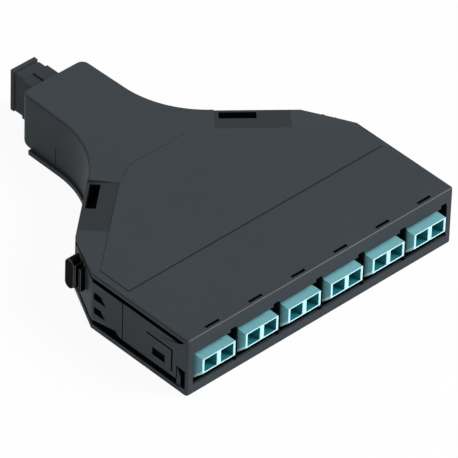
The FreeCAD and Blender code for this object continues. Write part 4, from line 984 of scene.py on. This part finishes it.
class CASSETTE_OT_inner_pieces(bpy.types.Operator):
    """Finishes of the plugs, boots, fibres and ferrules inside"""
    bl_idname = "cassette.inner_pieces"
    bl_label = "Inner Pieces"

    def execute(self, context):
        settings = context.scene.cassette_inner_pieces
        for name, source, rubbed, bump, low, high, nodes in INNER_FINISHES:
            finish = moulded(name, getattr(settings, source), rubbed, bump=bump, low=low, high=high)
            for node in nodes:
                paint_node(node, finish)
        steel = bpy.data.materials["polished_steel"]
        steel.node_tree.nodes["Principled BSDF"].inputs["Metallic"].default_value = 1.0
        return {"FINISHED"}


class CASSETTE_OT_stage(bpy.types.Operator):
    """Pale floor, soft lamps and the camera at the photograph's angle"""
    bl_idname = "cassette.stage"
    bl_label = "Studio"

    def execute(self, context):
        settings = context.scene.cassette_stage
        self.make_camera(context, settings)
        self.make_floor()
        self.make_lamps(context, settings)
        self.make_world(context, settings)
        context.scene.view_settings.view_transform = "Standard"
        return {"FINISHED"}

    def make_camera(self, context, settings):
        """Looks down on the front left corner with a long lens."""
        data = bpy.data.cameras.new("studio_camera")
        data.lens = settings.lens
        data.sensor_width = SENSOR_WIDTH
        camera = bpy.data.objects.new("studio_camera", data)
        turn = Matrix((CAMERA_RIGHT, CAMERA_UP, CAMERA_BACK)).transposed().to_4x4()
        camera.matrix_world = Matrix.Translation(CAMERA_PLACE) @ turn
        context.scene.collection.objects.link(camera)
        context.scene.camera = camera

    def make_floor(self):
        """A wide pale floor that keeps the object's soft shadow."""
        deselect()
        bpy.ops.mesh.primitive_grid_add(x_subdivisions=4, y_subdivisions=4, size=FLOOR_WIDTH,
                                        location=(0, 0, 0))
        floor = bpy.context.object
        floor.name = "studio_floor"
        floor.data.transform(Matrix.Translation((0, 0, -FLOOR_DROP)))
        material = bpy.data.materials.new("studio_paper")
        material.use_nodes = True
        nodes, links = material.node_tree.nodes, material.node_tree.links
        nodes.clear()
        result = nodes.new("ShaderNodeOutputMaterial")
        paper = nodes.new("ShaderNodeBsdfDiffuse")
        paper.inputs["Color"].default_value = rgba((PAPER, PAPER, PAPER))
        glow = nodes.new("ShaderNodeEmission")
        glow.inputs["Color"].default_value = (1, 1, 1, 1)
        seen = nodes.new("ShaderNodeMath")
        seen.operation = "MULTIPLY"
        seen.inputs[1].default_value = PAPER_GLOW
        mix = nodes.new("ShaderNodeMixShader")
        links.new(seen_rays(nodes, links), seen.inputs[0])
        links.new(seen.outputs[0], mix.inputs["Fac"])
        links.new(paper.outputs[0], mix.inputs[1])
        links.new(glow.outputs[0], mix.inputs[2])
        links.new(mix.outputs[0], result.inputs["Surface"])
        floor.data.materials.append(material)

    def make_lamps(self, context, settings):
        """Three large soft lamps."""
        for name, place in LAMP_PLACES.items():
            data = bpy.data.lights.new(name + "_lamp", "AREA")
            data.size = LAMP_WIDTH
            data.energy = getattr(settings, name)
            lamp = bpy.data.objects.new(name + "_lamp", data)
            lamp.location = place
            lamp.rotation_euler = Vector(place).to_track_quat("Z", "Y").to_euler()
            context.scene.collection.objects.link(lamp)

    def make_world(self, context, settings):
        """Even light that the camera and mirrors see as white."""
        world = bpy.data.worlds.new("studio_world")
        context.scene.world = world
        world.use_nodes = True
        nodes, links = world.node_tree.nodes, world.node_tree.links
        light = nodes["Background"]
        strength = nodes.new("ShaderNodeMapRange")
        strength.inputs["To Min"].default_value = settings.sky
        strength.inputs["To Max"].default_value = 1.0
        light.inputs["Color"].default_value = (1, 1, 1, 1)
        links.new(seen_rays(nodes, links), strength.inputs["Value"])
        links.new(strength.outputs["Result"], light.inputs["Strength"])


class CASSETTE_PT_panel(bpy.types.Panel):
    """Lists the pieces of the cassette"""
    bl_idname = "CASSETTE_PT_panel"
    bl_label = "Fibre Cassette"
    bl_space_type = "VIEW_3D"
    bl_region_type = "UI"
    bl_category = "Cassette"

    def draw(self, context):
        for operator in OPERATORS:
            self.layout.operator(operator.bl_idname)
        for group in ("cassette_housing", "cassette_front_adapter", "cassette_rear_adapter",
                      "cassette_inner_pieces", "cassette_stage"):
            box = self.layout.box()
            settings = getattr(context.scene, group)
            for name in settings.__annotations__:
                box.prop(settings, name)


GROUPS = (FrontAdapterSettings, RearAdapterSettings, HousingSettings, InnerPieceSettings, StageSettings)
OPERATORS = (CASSETTE_OT_stage, CASSETTE_OT_housing, CASSETTE_OT_latches, CASSETTE_OT_front_adapters,
             CASSETTE_OT_rear_adapter, CASSETTE_OT_inner_pieces)


def register():
    """Makes the settings, operators and panel known."""
    for item in GROUPS + OPERATORS + (CASSETTE_PT_panel,):
        bpy.utils.register_class(item)
    scene = bpy.types.Scene
    scene.cassette_housing = PointerProperty(type=HousingSettings)
    scene.cassette_front_adapter = PointerProperty(type=FrontAdapterSettings)
    scene.cassette_rear_adapter = PointerProperty(type=RearAdapterSettings)
    scene.cassette_inner_pieces = PointerProperty(type=InnerPieceSettings)
    scene.cassette_stage = PointerProperty(type=StageSettings)


def unregister():
    """Takes them away again."""
    scene = bpy.types.Scene
    del scene.cassette_stage
    del scene.cassette_inner_pieces
    del scene.cassette_rear_adapter
    del scene.cassette_front_adapter
    del scene.cassette_housing
    for item in reversed(GROUPS + OPERATORS + (CASSETTE_PT_panel,)):
        bpy.utils.unregister_class(item)


def main():
    """Runs every operator in order."""
    register()
    bpy.ops.cassette.stage()
    bpy.ops.cassette.housing()
    bpy.ops.cassette.latches()
    bpy.ops.cassette.front_adapters()
    bpy.ops.cassette.rear_adapter()
    bpy.ops.cassette.inner_pieces()


if __name__ == "__main__":
    main()
